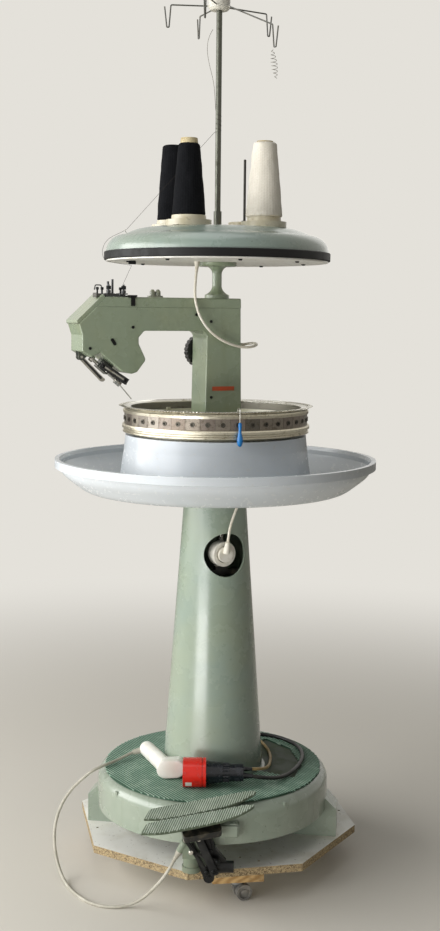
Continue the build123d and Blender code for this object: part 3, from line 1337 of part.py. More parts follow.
with BuildPart() as pedal_base:
    with BuildSketch(pedal_plane.offset(-PEDAL_BODY_TOP)):
        with Locations((PEDAL_PIN_S + 6, -14)):
            RectangleRounded(PEDAL_BODY_LONG, PEDAL_BODY_WIDE, PEDAL_BODY_ROUND)
    extrude(amount=-PEDAL_BODY_HIGH)
    with BuildSketch(pedal_plane.offset(-PEDAL_BODY_TOP - 1)):
        with Locations((PEDAL_PIN_S, -PEDAL_CHEEK_OUT), (PEDAL_PIN_S, PEDAL_CHEEK_OUT)):
            Rectangle(PEDAL_CHEEK, 4)
        with Locations((PEDAL_PIN_S, 0)):
            Rectangle(PEDAL_CHEEK, 3)
    extrude(amount=PEDAL_BODY_TOP + 1 - PEDAL_THICK - 4)
    with BuildSketch(Plane.XY.offset(BASE_LOW - 2)):
        Circle(BASE_R + 1.5)
    extrude(amount=BASE_TOP - BASE_LOW + 20, mode=Mode.SUBTRACT)
    with BuildSketch(pin_plane):
        Circle(PEDAL_PIN_R)
    extrude(amount=PEDAL_PIN_LENGTH)
    with BuildSketch(Plane.XY.offset(POT_LEG_LOW)):
        with Locations((POT_SPOT[0], POT_LEG_Y)):
            Rectangle(POT_LEG_WIDE, POT_LEG_THICK)
    extrude(amount=POT_LEG_TALL)
    with BuildSketch(Plane.XY.offset(POT_LEG_LOW)):
        with Locations((POT_SPOT[0], POT_LEG_Y + POT_NECK_LONG / 2)):
            Rectangle(POT_NECK_WIDE, POT_NECK_LONG)
    extrude(amount=BOARD_TOP + POT_TALL - POT_LEG_LOW)
    with BuildSketch(Plane.XY.offset(BOARD_TOP + SEAT_GAP / 10)):
        with Locations(POT_SPOT):
            Circle(POT_R)
    extrude(amount=POT_FLANGE)
    with BuildSketch(Plane.XY.offset(BOARD_TOP + 10)):
        with Locations(POT_SPOT):
            Circle(POT_R - 3)
    extrude(amount=POT_TALL - POT_FLANGE)
    with BuildSketch(Plane(origin=PEDAL_CORD[0], z_dir=Vector(*PEDAL_CORD[0]) - Vector(*PEDAL_CORD[1]))):
        Circle(GLAND_R)
    extrude(amount=24)
save(pedal_base.part, "pedal_base")

# Switch linkage that hangs from the foot control past the board's edge
with BuildPart() as pedal_linkage:
    with BuildSketch(Plane.XZ.offset(LINK_FRONT)):
        with BuildLine():
            Polyline(
                (-24, LINK_HIGH), (-8, LINK_HIGH + 1.5), (3, LINK_HIGH - 38), (0, LINK_LOW),
                (-10, LINK_LOW), (-12, LINK_HIGH - 38), close=True,
            )
        make_face()
        with BuildLine():
            Polyline(
                (-46, LINK_HIGH - 22), (-38, LINK_HIGH - 20), (-10, LINK_LOW + 12),
                (-10, LINK_LOW), (-16, LINK_LOW), close=True,
            )
        make_face()
        with Locations((-5, LINK_LOW + 2)):
            Circle(LINK_EYE_R)
    extrude(amount=LINK_PLATE)
    with BuildSketch(Plane.XZ.offset(LINK_FRONT)):
        with BuildLine():
            Polyline(
                (-18, 176), (0, 176), (10, 150), (32, 124), (32, 98), (4, 96), (-8, 112), close=True,
            )
        make_face()
    extrude(amount=-LINK_BLOCK)
    with BuildSketch(Plane.YZ.offset(LINK_BARREL_FROM)):
        with Locations((-LINK_FRONT + 4, LINK_BARREL_Z)):
            Circle(LINK_BARREL_R)
    extrude(amount=LINK_BARREL)
    with BuildSketch(Plane.XZ.offset(LINK_FRONT + LINK_PLATE)):
        with Locations((-5, LINK_LOW + 2), (-15, LINK_HIGH - 8), (-2, LINK_HIGH - 38)):
            Circle(LINK_BOLT_R)
    extrude(amount=LINK_BOLT)
save(pedal_linkage.part, "pedal_linkage")

# Plugs that lie on the mat
plug_axis = Plane(origin=(MAINS_START[0], MAINS_START[1], MAT_TOP + RED_R + SEAT_GAP), z_dir=(1, 0, 0))
with BuildPart() as mains_plug:
    with BuildSketch(plug_axis):
        Circle(RED_R)
    extrude(amount=RED_LENGTH)
    with BuildSketch(plug_axis):
        Circle(RED_R - RED_WALL)
    extrude(amount=RED_LENGTH - RED_FLOOR, mode=Mode.SUBTRACT)
    with BuildSketch(plug_axis.offset(RED_LENGTH - RED_FLOOR)):
        with PolarLocations(PIN_RING_R, PLUG_PINS, start_angle=90):
            Circle(PIN_R)
    extrude(amount=-PIN_LONG)
    with BuildSketch(plug_axis.offset(RED_LENGTH - 9)):
        Circle(RED_R + 1)
        Circle(RED_R - 1.6, mode=Mode.SUBTRACT)
    extrude(amount=RED_GROOVE, mode=Mode.SUBTRACT)
    with BuildSketch(plug_axis.offset(RED_LENGTH)):
        Circle(MAINS_BODY_R)
    extrude(amount=MAINS_BODY, taper=6)
    with BuildSketch(plug_axis.offset(RED_LENGTH + MAINS_BODY)):
        Circle(MAINS_NUT_R)
    extrude(amount=MAINS_LENGTH - RED_LENGTH - MAINS_BODY)
save(mains_plug.part, "mains_plug")

grey_handle = Vector(*GREY_TURN) - Vector(*GREY_START)
grey_head = Vector(*GREY_END) - Vector(*GREY_TURN)
with BuildPart() as pedal_cord_plug:
    with BuildSketch(Plane(origin=GREY_START, z_dir=grey_handle)):
        Circle(GREY_R)
    extrude(amount=grey_handle.length)
    with BuildSketch(Plane(origin=GREY_START, z_dir=grey_handle).offset(0.55 * grey_handle.length)):
        Circle(GREY_R + 1)
        Circle(GREY_R - GREY_SEAM, mode=Mode.SUBTRACT)
    extrude(amount=2 * GREY_SEAM, mode=Mode.SUBTRACT)
    with BuildSketch(Plane(origin=GREY_TURN, z_dir=grey_head)):
        Circle(GREY_FACE_R)
    extrude(amount=grey_head.length)
    with BuildSketch(Plane(origin=GREY_TURN, z_dir=-grey_head)):
        Circle(GREY_FACE_R)
    extrude(amount=10, taper=25)
    with BuildSketch(Plane(origin=GREY_END, z_dir=-grey_head).offset(5)):
        Circle(GREY_FACE_R + 1)
        Circle(GREY_FACE_R - GREY_SEAM, mode=Mode.SUBTRACT)
    extrude(amount=2 * GREY_SEAM, mode=Mode.SUBTRACT)
    inlet = Vector(*PEDAL_CORD[-1]) - Vector(*PEDAL_CORD[-2])
    with BuildSketch(Plane(origin=PEDAL_CORD[-1], z_dir=inlet)):
        Circle(GLAND_R - 1)
    extrude(amount=28)
save(pedal_cord_plug.part, "pedal_cord_plug")

with BuildPart() as socket_plug:
    with BuildSketch(socket_face.offset(-PLUG_DEPTH + 6)):
        Circle(PLUG_R)
    extrude(amount=PLUG_DEPTH)
    relief_dir = Vector(*SOCKET_CORD[0]) - Vector(*RELIEF_ROOT)
    with BuildSketch(Plane(origin=RELIEF_ROOT, z_dir=relief_dir)):
        Circle(8)
    extrude(amount=relief_dir.length - 0.3, taper=6)
save(socket_plug.part, "socket_plug")

# Cords, each a tube along its route
cord_tube(PEDAL_CORD, PEDAL_CORD_WIDTH, "pedal_cord")
cord_tube(MAINS_CORD, MAINS_CORD_WIDTH, "mains_cord")
cord_tube(LINK_CORD, LINK_CORD_WIDTH, "link_cord")
cord_tube(HEAD_CORD, HEAD_CORD_WIDTH, "head_cord")
cord_tube(SOCKET_CORD, HEAD_CORD_WIDTH, "socket_cord")
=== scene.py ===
import json
import math

import bmesh
import bpy
from mathutils import Matrix, Vector, noise


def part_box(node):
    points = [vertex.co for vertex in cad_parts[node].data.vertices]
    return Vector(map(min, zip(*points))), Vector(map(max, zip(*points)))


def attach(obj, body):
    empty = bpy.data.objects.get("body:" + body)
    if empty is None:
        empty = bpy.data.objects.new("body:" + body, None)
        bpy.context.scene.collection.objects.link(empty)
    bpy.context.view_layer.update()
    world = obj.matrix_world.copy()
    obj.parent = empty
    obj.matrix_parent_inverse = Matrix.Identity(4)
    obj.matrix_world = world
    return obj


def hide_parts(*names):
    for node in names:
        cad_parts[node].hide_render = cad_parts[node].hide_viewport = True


# Linking machine: looks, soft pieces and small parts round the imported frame.
# Sizes are written in millimetres and placed in metres; the axis of the column
# stands on X = Y = 0, the floor is Z = 0 and the operator stands at -Y.

MM = 0.001
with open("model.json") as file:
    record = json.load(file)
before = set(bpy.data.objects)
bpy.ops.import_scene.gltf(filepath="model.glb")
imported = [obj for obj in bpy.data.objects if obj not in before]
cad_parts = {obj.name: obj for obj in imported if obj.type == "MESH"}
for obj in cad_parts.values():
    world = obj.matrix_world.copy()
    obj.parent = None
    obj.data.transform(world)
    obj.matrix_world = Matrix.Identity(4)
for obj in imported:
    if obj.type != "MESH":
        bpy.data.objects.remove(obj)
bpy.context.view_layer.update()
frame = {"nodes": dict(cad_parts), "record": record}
nodes = frame["nodes"]
scene = bpy.context.scene


def box_mm(node):
    """The low and the high corner of a piece of the frame, in millimetres."""
    return [Vector(corner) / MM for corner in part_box(node)]


# Places and sizes read from the frame's pieces
mat_high = box_mm("base_mat")[1]
points_high = box_mm("dial_points")[1]
plug_low, plug_high = box_mm("mains_plug")
disc_low, disc_high = box_mm("yarn_disc")
RED_AXIS_Z = (plug_low.z + plug_high.z) / 2
DISC_R = disc_high.x

# Places and sizes of the frame that no piece's box gives
HEAD_AZIMUTH = 203.0
HEAD_HALF = 44.0
HEAD_TOP = 1334.0
BASE_TOP = 235.9
RED_END = -14.0
TOOL_HANDLE_TOP = 1069.0
PLATE_COUNT = 40
UNDERPLATE_LOW = 1415.0
SOCKET_LOW = 722.0
POT_EDGE = 176.0
GUIDE_HUB_R = 27.0

# Blank patch on the five-pin plug, along its axis and in height
RED_PATCH_X = (RED_END - 46, RED_END - 32)
RED_PATCH_Z = (RED_AXIS_Z - 24, RED_AXIS_Z - 13)

# Cones of yarn: azimuth, radius below, radius above and height
CONES = {
    "black_back": (148.75, 37.5, 25.0, 170.0), "black_front": (238.75, 37.0, 23.5, 154.0),
    "white": (328.75, 41.0, 26.0, 162.0),
}
CONE_RING_R = 120.5
CONE_LOW = 1512.1
CORE_TALL = 165.0
YARN_STRANDS = 52
YARN_SLANT = 18

# Foot control: the pedals' origin, and their directions along, across and up
PEDAL_ORIGIN = Vector((0.0, -294.0, 237.0))
PEDAL_X = Vector((0.97262, 0.19788, 0.12187))
PEDAL_Y = Vector((-0.22808, 0.91337, 0.33723))
PEDAL_UP = Vector((-0.04458, -0.35580, 0.93350))


def polar(radius, azimuth, z=0.0):
    """A point at a radius and an azimuth, in degrees from +X."""
    turn = math.radians(azimuth)
    return Vector((radius * math.cos(turn), radius * math.sin(turn), z))


def on_head(u, z, back=0.0):
    """A point in the head's own plane: u along the arm, back towards the rear."""
    return polar(u, HEAD_AZIMUTH) + polar(back, HEAD_AZIMUTH - 90) + Vector((0, 0, z))


# Camera, at the height and distance of the photograph, its place in metres. The
# photograph is taller than wide, so its height takes the sensor's long side
CAMERA_PLACE = (0.0108, -2.9, 1.297)
VIEW_PITCH = 0.119
VIEW_ROLL = 0.0095
FOCAL_PIXELS = 1260
PHOTO_TALL_PIXELS = 931
camera_data = bpy.data.cameras.new("camera")
camera_data.lens = FOCAL_PIXELS / PHOTO_TALL_PIXELS * camera_data.sensor_width
camera = bpy.data.objects.new("camera", camera_data)
scene.collection.objects.link(camera)
forward = Vector((0, math.cos(VIEW_PITCH), -math.sin(VIEW_PITCH)))
level_up = Vector((1, 0, 0)).cross(forward)
right = Vector((1, 0, 0)) * math.cos(VIEW_ROLL) + level_up * math.sin(VIEW_ROLL)
upward = level_up * math.cos(VIEW_ROLL) - Vector((1, 0, 0)) * math.sin(VIEW_ROLL)
camera_turn = Matrix((right, upward, -forward)).transposed().to_4x4()
camera.matrix_world = Matrix.Translation(CAMERA_PLACE) @ camera_turn
scene.camera = camera

# Cords: the frame's routes in millimetres, as control points
CORDS = {
    "pedal_cord": {
        "wide": 7.0, "length": 0.812, "far_end": "plug", "with": ["pedal_cord_plug"],
        "points": [
            (-69, -289, 143), (-80, -288, 123), (-92, -285, 98), (-108, -280, 72), (-129, -273, 46),
            (-152, -266, 21), (-179, -264, 6.5), (-210, -269, 3.6), (-243, -265, 3.6),
            (-273, -246, 3.6), (-299, -214, 3.6), (-319, -183, 3.6), (-335, -150, 5),
            (-350, -124, 20), (-360, -112, 48), (-365, -106, 80), (-365, -98, 112),
            (-359, -84, 142), (-347, -72, 168), (-329, -67, 194), (-306, -70, 218),
            (-284, -66, 236), (-262, -54, 244), (-240, -32, 245.5), (-222, -8, 246),
            (-207, 9, 249), (-192, 22, 252),
        ],
    },
    "mains_cord": {
        "wide": 9.0, "length": 0.623, "far_end": "plug", "with": ["mains_plug"],
        "points": [
            (8, 122.2, 262), (8, 144, 262), (16.2, 164.4, 259.5), (31.5, 180, 255),
            (51.4, 189.5, 250), (78, 193, 246), (112, 190, 244), (150, 177, 244), (184, 148, 244),
            (207, 108, 244), (217, 62, 244), (215, 18, 244), (206, -22, 244), (192, -60, 244),
            (174, -94, 244), (154, -122, 247), (132, -144, 254), (108, -158, 261),
            (86, -163, 265.5), (70.4, -163, 266),
        ],
    },
    "link_cord": {
        "wide": 7.0, "length": 0.468, "far_end": "object", "with": [],
        "points": [
            (70.6, -156, 279), (88, -153, 278), (104, -142, 275), (116, -124, 269),
            (124, -100, 262), (129, -74, 255.5), (133, -44, 249), (136, -12, 244), (139, 26, 241),
            (138.5, 56, 240.2), (135, 84, 240.2), (129, 112, 240.6), (118, 140, 243.5),
            (102.5, 158, 245.5), (83.5, 169, 249), (61.6, 171.6, 253), (44.5, 166, 257),
            (31.9, 154.6, 260), (25, 139.1, 261.8), (25, 122.2, 262),
        ],
    },
    "head_cord": {
        "wide": 6.0, "length": 0.366, "far_end": "object", "with": [],
        "points": [
            (-45, -36, 1414.2), (-46, -40, 1396), (-48, -50, 1372), (-49, -64, 1348),
            (-47, -76, 1325), (-41, -80, 1302), (-30, -77, 1280), (-15, -70, 1261),
            (3, -62, 1246), (23, -53, 1235), (45, -42, 1227), (67, -31, 1224), (84, -20, 1226),
            (93, -8, 1230), (90, 5, 1233), (79, 11, 1233), (67, 9, 1231), (56.5, 4, 1229),
            (46.6, 0, 1228),
        ],
    },
    "socket_cord": {
        "wide": 6.0, "length": 0.115, "far_end": "plug", "with": ["socket_plug"],
        "points": [
            (60, -60, 892.6), (57, -63, 881), (52, -68.5, 868), (46, -74, 852), (40, -78.5, 836),
            (35, -81, 818), (32, -80.5, 800), (30.5, -77, 785),
        ],
    },
}


def smooth_line(name, points, wide):
    """A curve on the points, in millimetres, thickened to a round cord. The radius sits
    on the points, so that the curve's own bounds stay true."""
    line = bpy.data.curves.new(name, "CURVE")
    line.dimensions = "3D"
    line.bevel_depth = 1.0
    line.bevel_resolution = 5
    line.resolution_u = 10
    line.use_fill_caps = True
    spline = line.splines.new("NURBS")
    spline.points.add(len(points) - 1)
    for point, spot in zip(spline.points, points):
        point.co = (*(Vector(spot) * MM), 1)
        point.radius = wide / 2 * MM
    spline.order_u = 3
    spline.use_endpoint_u = True
    piece = bpy.data.objects.new(name, line)
    scene.collection.objects.link(piece)
    return piece


cord_pieces = {}
for name, cord in CORDS.items():
    piece = smooth_line(name + "_sheath", cord["points"], cord["wide"])
    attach(piece, "machine")
    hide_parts(name)
    cord_pieces[name] = piece


# Materials
def srgb(code):
    """A colour written as sRGB hex, turned to linear light."""
    shares = [int(code[i:i + 2], 16) / 255 for i in (0, 2, 4)]
    return [s / 12.92 if s <= 0.04045 else ((s + 0.055) / 1.055) ** 2.4 for s in shares] + [1.0]


def add(tree, kind, inputs=None, **settings):
    """Adds a node with its settings; an input is a value or another node's socket."""
    made = tree.nodes.new(kind)
    for key, value in settings.items():
        setattr(made, key, value)
    for key, value in (inputs or {}).items():
        if isinstance(value, bpy.types.NodeSocket):
            tree.links.new(value, made.inputs[key])
        else:
            made.inputs[key].default_value = value
    return made


# Sockets of a Mix node that mixes colours, and the name of the shader
FACTOR, COLOUR_A, COLOUR_B = 0, 6, 7
MIXED = 2
SHADER = "Principled BSDF"


def surface(name, sockets):
    """A new material with its fixed values set on the shader's own sockets."""
    material = bpy.data.materials.new(name)
    material.use_nodes = True
    tree = material.node_tree
    for socket, value in sockets.items():
        tree.nodes[SHADER].inputs[socket].default_value = value
    place = add(tree, "ShaderNodeTexCoord").outputs["Object"]
    return material, tree, place


def speckle(tree, place, size, low, high, detail=3.0, seed=0.0, stretch=None, turn=(0, 0, 0)):
    """Noise with features of a size in millimetres, cut to 0..1 between low and high. A
    stretch below 1 draws them out along that axis."""
    if stretch:
        place = add(tree, "ShaderNodeMapping", {
            "Vector": place, "Scale": stretch, "Rotation": turn}).outputs["Vector"]
    grain = add(tree, "ShaderNodeTexNoise", {
        "Vector": place, "W": seed, "Scale": 1 / (size * MM), "Detail": detail,
        "Roughness": 0.55}, noise_dimensions="4D")
    return add(tree, "ShaderNodeMapRange", {
        "Value": grain.outputs["Fac"], "From Min": low, "From Max": high,
    }, interpolation_type="SMOOTHSTEP").outputs["Result"]


def coats(tree, ground, layers):
    """Colours laid over a ground. A layer is a pattern from 0 to 1, the share of the
    colour where the pattern is 1, and the colour: sRGB hex, or a socket that holds one."""
    mixed = srgb(ground) if isinstance(ground, str) else ground
    for pattern, most, colour in layers:
        if most < 1:
            pattern = add(tree, "ShaderNodeMapRange", {"Value": pattern, "To Max": most}).outputs["Result"]
        over = srgb(colour) if isinstance(colour, str) else colour
        mixed = add(tree, "ShaderNodeMix", {FACTOR: pattern, COLOUR_A: mixed, COLOUR_B: over},
                    data_type="RGBA").outputs[MIXED]
    return mixed


def finished(material, colour, gloss=None, reliefs=(), edge=0.0):
    """Links a material's patterns to its shader. Gloss is a pattern with the roughness at
    its 0 and at its 1. Edges look rounded by so many millimetres, and on them lie the
    reliefs, each a pattern, its full height in millimetres and its strength."""
    tree = material.node_tree
    ends = tree.nodes[SHADER].inputs
    tree.links.new(colour, ends["Base Color"])
    if gloss:
        pattern, at_none, at_full = gloss
        rough = add(tree, "ShaderNodeMapRange", {"Value": pattern, "To Min": at_none, "To Max": at_full})
        tree.links.new(rough.outputs["Result"], ends["Roughness"])
    under = {}
    if edge:
        under["Normal"] = add(tree, "ShaderNodeBevel", {"Radius": edge * MM}, samples=4).outputs["Normal"]
    for pattern, depth, strength in reliefs:
        bump = add(tree, "ShaderNodeBump", {
            "Height": pattern, "Distance": depth * MM, "Strength": strength, **under})
        under["Normal"] = bump.outputs["Normal"]
    if under:
        tree.links.new(under["Normal"], ends["Normal"])
    return material


def enamel(name, paint, faded, grime, worn, dusty=0.25, edge=1.4, top=None):
    """Gloss enamel sprayed on a casting: a soft sheen with faint orange peel, yellowed
    patches, grime that has run down, and chips that show the iron. The top, given as
    its height and colour, is painted darker above that height: a painted dark reflection."""
    material, tree, place = surface(name, {
        "IOR": 1.5, "Metallic": 0.0, "Coat Weight": 0.6, "Coat Roughness": 0.24})
    layers = [(speckle(tree, place, 150, 0.38, 0.66, seed=1.0), 1.0, faded)]
    # Above the given height the colour turns dark: a painted dark reflection on the level top
    if top:
        low, top_reflection_colour = top
        height = add(tree, "ShaderNodeSeparateXYZ", {"Vector": place}).outputs["Z"]
        deck = add(tree, "ShaderNodeMapRange", {
            "Value": height, "From Min": (low - 0.5) * MM, "From Max": (low + 0.5) * MM})
        layers.append((deck.outputs["Result"], 1.0, top_reflection_colour))
    run = speckle(tree, place, 34, 0.5, 0.74, 4.0, seed=2.0, stretch=(1, 1, 0.14))
    freckle = speckle(tree, place, 5.0, 0.66, 0.71, 2.0, seed=3.0)
    where = speckle(tree, place, 70, 0.52, 0.64, 2.0, seed=4.0)
    chip = add(tree, "ShaderNodeMath", {0: freckle, 1: where}, operation="MULTIPLY").outputs[0]
    chip = add(tree, "ShaderNodeMath", {0: chip, 1: worn}, operation="MULTIPLY").outputs[0]
    layers += [(run, dusty, grime), (chip, 1.0, "3b3a33")]
    smear = speckle(tree, place, 60, 0.3, 0.7, 4.0, seed=5.0)
    peel = speckle(tree, place, 3.2, 0.2, 0.8, 2.0, seed=6.0)
    return finished(material, coats(tree, paint, layers), (smear, 0.22, 0.32),
                    [(peel, 0.03, 0.4), (chip, -0.15, 0.8)], edge)


def ground_steel(name, tint, stain, low, high, along=(1, 1, 0.1), edge=0.4):
    """Ground or drawn steel: fine lines along the grinding, with brown stain in them. Real
    lines are too fine to show in the render, so these are drawn 1.6 mm apart."""
    material, tree, place = surface(name, {"Metallic": 1.0})
    line = speckle(tree, place, 1.6, 0.3, 0.7, 2.0, seed=1.0, stretch=along)
    rust = speckle(tree, place, 14, 0.55, 0.72, 4.0, seed=2.0)
    return finished(material, coats(tree, tint, [(rust, 0.7, stain)]), (line, low, high),
                    [(line, 0.03, 0.4)], edge)


def moulded(name, tint, tired, low, high, scuff="", sheen_size=40, edge=0.8):
    """Moulded plastic: one even colour with a faint cloud in it, handling marks in the
    gloss, and dirt that has caught in scuffs. The grain is coarser than real, to show."""
    material, tree, place = surface(name, {"IOR": 1.49, "Metallic": 0.0})
    layers = [(speckle(tree, place, sheen_size, 0.35, 0.68, seed=1.0), 1.0, tired)]
    rub = speckle(tree, place, 9, 0.56, 0.7, 4.0, seed=2.0, stretch=(1, 0.3, 1), turn=(0, 0, 0.7))
    if scuff:
        layers.append((rub, 0.45, scuff))
    grain = speckle(tree, place, 0.9, 0.2, 0.8, 1.0, seed=3.0)
    return finished(material, coats(tree, tint, layers), (rub, low, high), [(grain, 0.02, 0.35)], edge)


def rubber(name, tint, bloom, share, low=0.55, high=0.8):
    """Moulded rubber: dull, with a pale bloom and dust where it isn't touched. The grain
    is coarser than real, to show."""
    material, tree, place = surface(name, {
        "IOR": 1.5, "Metallic": 0.0, "Specular IOR Level": 0.28})
    dust = speckle(tree, place, 26, 0.42, 0.68, 4.0, seed=1.0)
    grain = speckle(tree, place, 1.1, 0.2, 0.8, 2.0, seed=2.0)
    return finished(material, coats(tree, tint, [(dust, share, bloom)]), (dust, low, high),
                    [(grain, 0.04, 0.5)])


def laminate_board():
    """Coated chipboard: white melamine above and below, pressed wood flakes at the edge."""
    material, tree, place = surface("white_laminate_on_chipboard", {"IOR": 1.5})
    normal = add(tree, "ShaderNodeNewGeometry").outputs["True Normal"]
    upright = add(tree, "ShaderNodeSeparateXYZ", {"Vector": normal}).outputs["Z"]
    level = add(tree, "ShaderNodeMath", {0: upright}, operation="ABSOLUTE").outputs[0]
    face = add(tree, "ShaderNodeMapRange", {
        "Value": level, "From Min": 0.4, "From Max": 0.6}).outputs["Result"]
    grey = speckle(tree, place, 60, 0.42, 0.7, 5.0, seed=1.0)
    spot = speckle(tree, place, 7, 0.64, 0.7, 3.0, seed=2.0)
    melamine = coats(tree, "f4f2ea", [(grey, 0.5, "cbc5b0"), (spot, 0.6, "7d6f57")])
    flake = add(tree, "ShaderNodeTexVoronoi", {"Vector": place, "Scale": 1 / (3.2 * MM)})
    tone = add(tree, "ShaderNodeSeparateColor", {"Color": flake.outputs["Color"]}).outputs["Red"]
    chip = speckle(tree, place, 2.0, 0.5, 0.66, seed=3.0)
    wood = coats(tree, "ad9872", [(tone, 1.0, "5f4e38"), (chip, 1.0, "c9b78f")])
    side = add(tree, "ShaderNodeMath", {0: 1.0, 1: face}, operation="SUBTRACT").outputs[0]
    crumb = add(tree, "ShaderNodeMath", {0: tone, 1: side}, operation="MULTIPLY").outputs[0]
    return finished(material, coats(tree, wood, [(face, 1.0, melamine)]), (face, 0.85, 0.42),
                    [(crumb, 0.5, 0.8)])


def sawn_pine():
    """Rough sawn pine: growth rings drawn out along the block, with saw marks across it."""
    material, tree, place = surface("sawn_pine", {"IOR": 1.45, "Roughness": 0.8})
    long_way = add(tree, "ShaderNodeMapping", {
        "Vector": place, "Scale": (0.12, 1, 1), "Rotation": (0, 0, 0.15)}).outputs["Vector"]
    ring = add(tree, "ShaderNodeTexWave", {
        "Vector": long_way, "Scale": 1 / (14 * MM), "Distortion": 5.0, "Detail": 3.0,
        "Detail Scale": 1.4}, wave_type="RINGS", rings_direction="X").outputs["Fac"]
    dirt = speckle(tree, place, 22, 0.5, 0.7, 4.0, seed=1.0)
    saw = speckle(tree, place, 1.5, 0.3, 0.7, seed=2.0, stretch=(1, 0.08, 1))
    grain = coats(tree, "cbaa74", [(ring, 1.0, "a5804f"), (dirt, 0.5, "6b5638")])
    return finished(material, grain, reliefs=[(saw, 0.3, 0.6)])


def clamp_plates():
    """Milled clamp plates: each one has its own tone, from bright steel to yellowed
    and pinkish, with oil in patches and mill lines along the ring, coarser than real."""
    material, tree, place = surface("milled_clamp_plates", {"Metallic": 0.85})
    split = add(tree, "ShaderNodeSeparateXYZ", {"Vector": place}).outputs
    angle = add(tree, "ShaderNodeMath", {0: split["Y"], 1: split["X"]}, operation="ARCTAN2").outputs[0]
    plates_on = add(tree, "ShaderNodeMath", {
        0: angle, 1: PLATE_COUNT / math.tau}, operation="MULTIPLY").outputs[0]
    number = add(tree, "ShaderNodeMath", {0: plates_on}, operation="FLOOR").outputs[0]
    lot = add(tree, "ShaderNodeTexWhiteNoise", {"W": number}, noise_dimensions="1D")
    pick = add(tree, "ShaderNodeSeparateColor", {"Color": lot.outputs["Color"]}).outputs
    oil = speckle(tree, place, 9, 0.5, 0.72, 4.0, seed=2.0)
    tone = coats(tree, "8f8c83", [
        (pick["Red"], 1.0, "5d5a53"), (pick["Green"], 0.5, "94897a"), (pick["Blue"], 0.35, "8b756c"),
        (oil, 0.6, "4b4334")])
    mill = speckle(tree, place, 0.9, 0.3, 0.7, seed=3.0, stretch=(0.2, 0.2, 1))
    return finished(material, tone, (mill, 0.25, 0.5), [(mill, 0.03, 0.5)])


def wound_yarn(name, tint, shade, high, sheen):
    """Worsted yarn cross-wound on a cone: strands lie at two slants, with a painted highlight
    on their crowns and painted shade between them, and a soft sheen. They are drawn thicker
    than real, to show."""
    material, tree, place = surface(name, {
        "IOR": 1.5, "Roughness": 0.9, "Specular IOR Level": 0.08, "Sheen Weight": sheen,
        "Sheen Roughness": 0.5, "Sheen Tint": srgb(high)})
    track = add(tree, "ShaderNodeUVMap", uv_map="winding").outputs["UV"]
    split = add(tree, "ShaderNodeSeparateXYZ", {"Vector": track}).outputs
    level = add(tree, "ShaderNodeMath", {0: split["Y"], 1: YARN_STRANDS}, operation="MULTIPLY").outputs[0]
    rows = []
    for slant in (YARN_SLANT, -YARN_SLANT):
        row = split["X"]
        for operation, factor, more in (
                ("MULTIPLY_ADD", slant, level), ("MULTIPLY", math.pi, 0), ("SINE", 0, 0), ("ABSOLUTE", 0, 0)):
            row = add(tree, "ShaderNodeMath", {0: row, 1: factor, 2: more}, operation=operation).outputs[0]
        rows.append(row)
    ply = add(tree, "ShaderNodeMath", {0: rows[0], 1: rows[1]}, operation="MAXIMUM").outputs[0]
    fleck = add(tree, "ShaderNodeMapRange", {
        "Value": speckle(tree, place, 1.2, 0.35, 0.7, 3.0, seed=1.0), "To Min": 0.55}).outputs["Result"]
    # Crowns take the tint and the gaps between strands the shade colour: painted highlight and painted shade
    depth = add(tree, "ShaderNodeMath", {0: ply, 1: fleck}, operation="MULTIPLY").outputs[0]
    return finished(material, coats(tree, shade, [(depth, 1.0, tint)]), reliefs=[(depth, 0.5, 0.9)])


def beyond(tree, place, axis, edge):
    """1 where a coordinate, in millimetres, lies past an edge, else 0."""
    along = add(tree, "ShaderNodeSeparateXYZ", {"Vector": place}).outputs[axis]
    return add(tree, "ShaderNodeMath", {0: along, 1: edge * MM}, operation="GREATER_THAN").outputs[0]


def plug_shell():
    """Five-pin plug: a glossy red collar with a pale blank patch low at its front, and
    a black body behind it, whose blue tint is a painted blue sheen."""
    material, tree, place = surface("red_and_black_plug", {"IOR": 1.49})
    rub = speckle(tree, place, 12, 0.5, 0.7, 4.0, seed=1.0)
    bands = []
    for axis, (low, high) in (("X", RED_PATCH_X), ("Z", RED_PATCH_Z)):
        bands.append(add(tree, "ShaderNodeMath", {
            0: beyond(tree, place, axis, low), 1: beyond(tree, place, axis, high)},
            operation="SUBTRACT").outputs[0])
    patch = add(tree, "ShaderNodeMath", {0: bands[0], 1: bands[1]}, operation="MULTIPLY").outputs[0]
    red = coats(tree, "cf2418", [(rub, 0.6, "9c1d14"), (patch, 1.0, "d8cfc6")])
    # The blue-black body colour is a painted blue sheen
    black = coats(tree, "12151b", [(rub, 1.0, "23262c")])
    body = beyond(tree, place, "X", RED_END)
    grain = speckle(tree, place, 1.0, 0.2, 0.8, seed=3.0)
    return finished(material, coats(tree, red, [(body, 1.0, black)]), (rub, 0.2, 0.42),
                    [(grain, 0.02, 0.35)], 0.8)


def two_tone(name, first, second, axis, edge):
    """Two mouldings in one piece, a little dirty, told apart by height (Z) or by distance
    from the machine's axis (R). The first is above the edge, or nearer the axis than it."""
    material, tree, place = surface(name, {"IOR": 1.49})
    if axis == "R":
        flat = add(tree, "ShaderNodeVectorMath", {0: place, 1: (1, 1, 0)}, operation="MULTIPLY").outputs[0]
        reach = add(tree, "ShaderNodeVectorMath", {0: flat}, operation="LENGTH").outputs["Value"]
        other = add(tree, "ShaderNodeMath", {0: reach, 1: edge * MM}, operation="GREATER_THAN").outputs[0]
    else:
        above = beyond(tree, place, axis, edge)
        other = add(tree, "ShaderNodeMath", {0: 1.0, 1: above}, operation="SUBTRACT").outputs[0]
    dirt = speckle(tree, place, 12, 0.45, 0.75, 4.0, seed=1.0)
    tone = coats(tree, first, [(other, 1.0, second), (dirt, 0.3, "8a8068")])
    return finished(material, tone, (dirt, 0.3, 0.5))


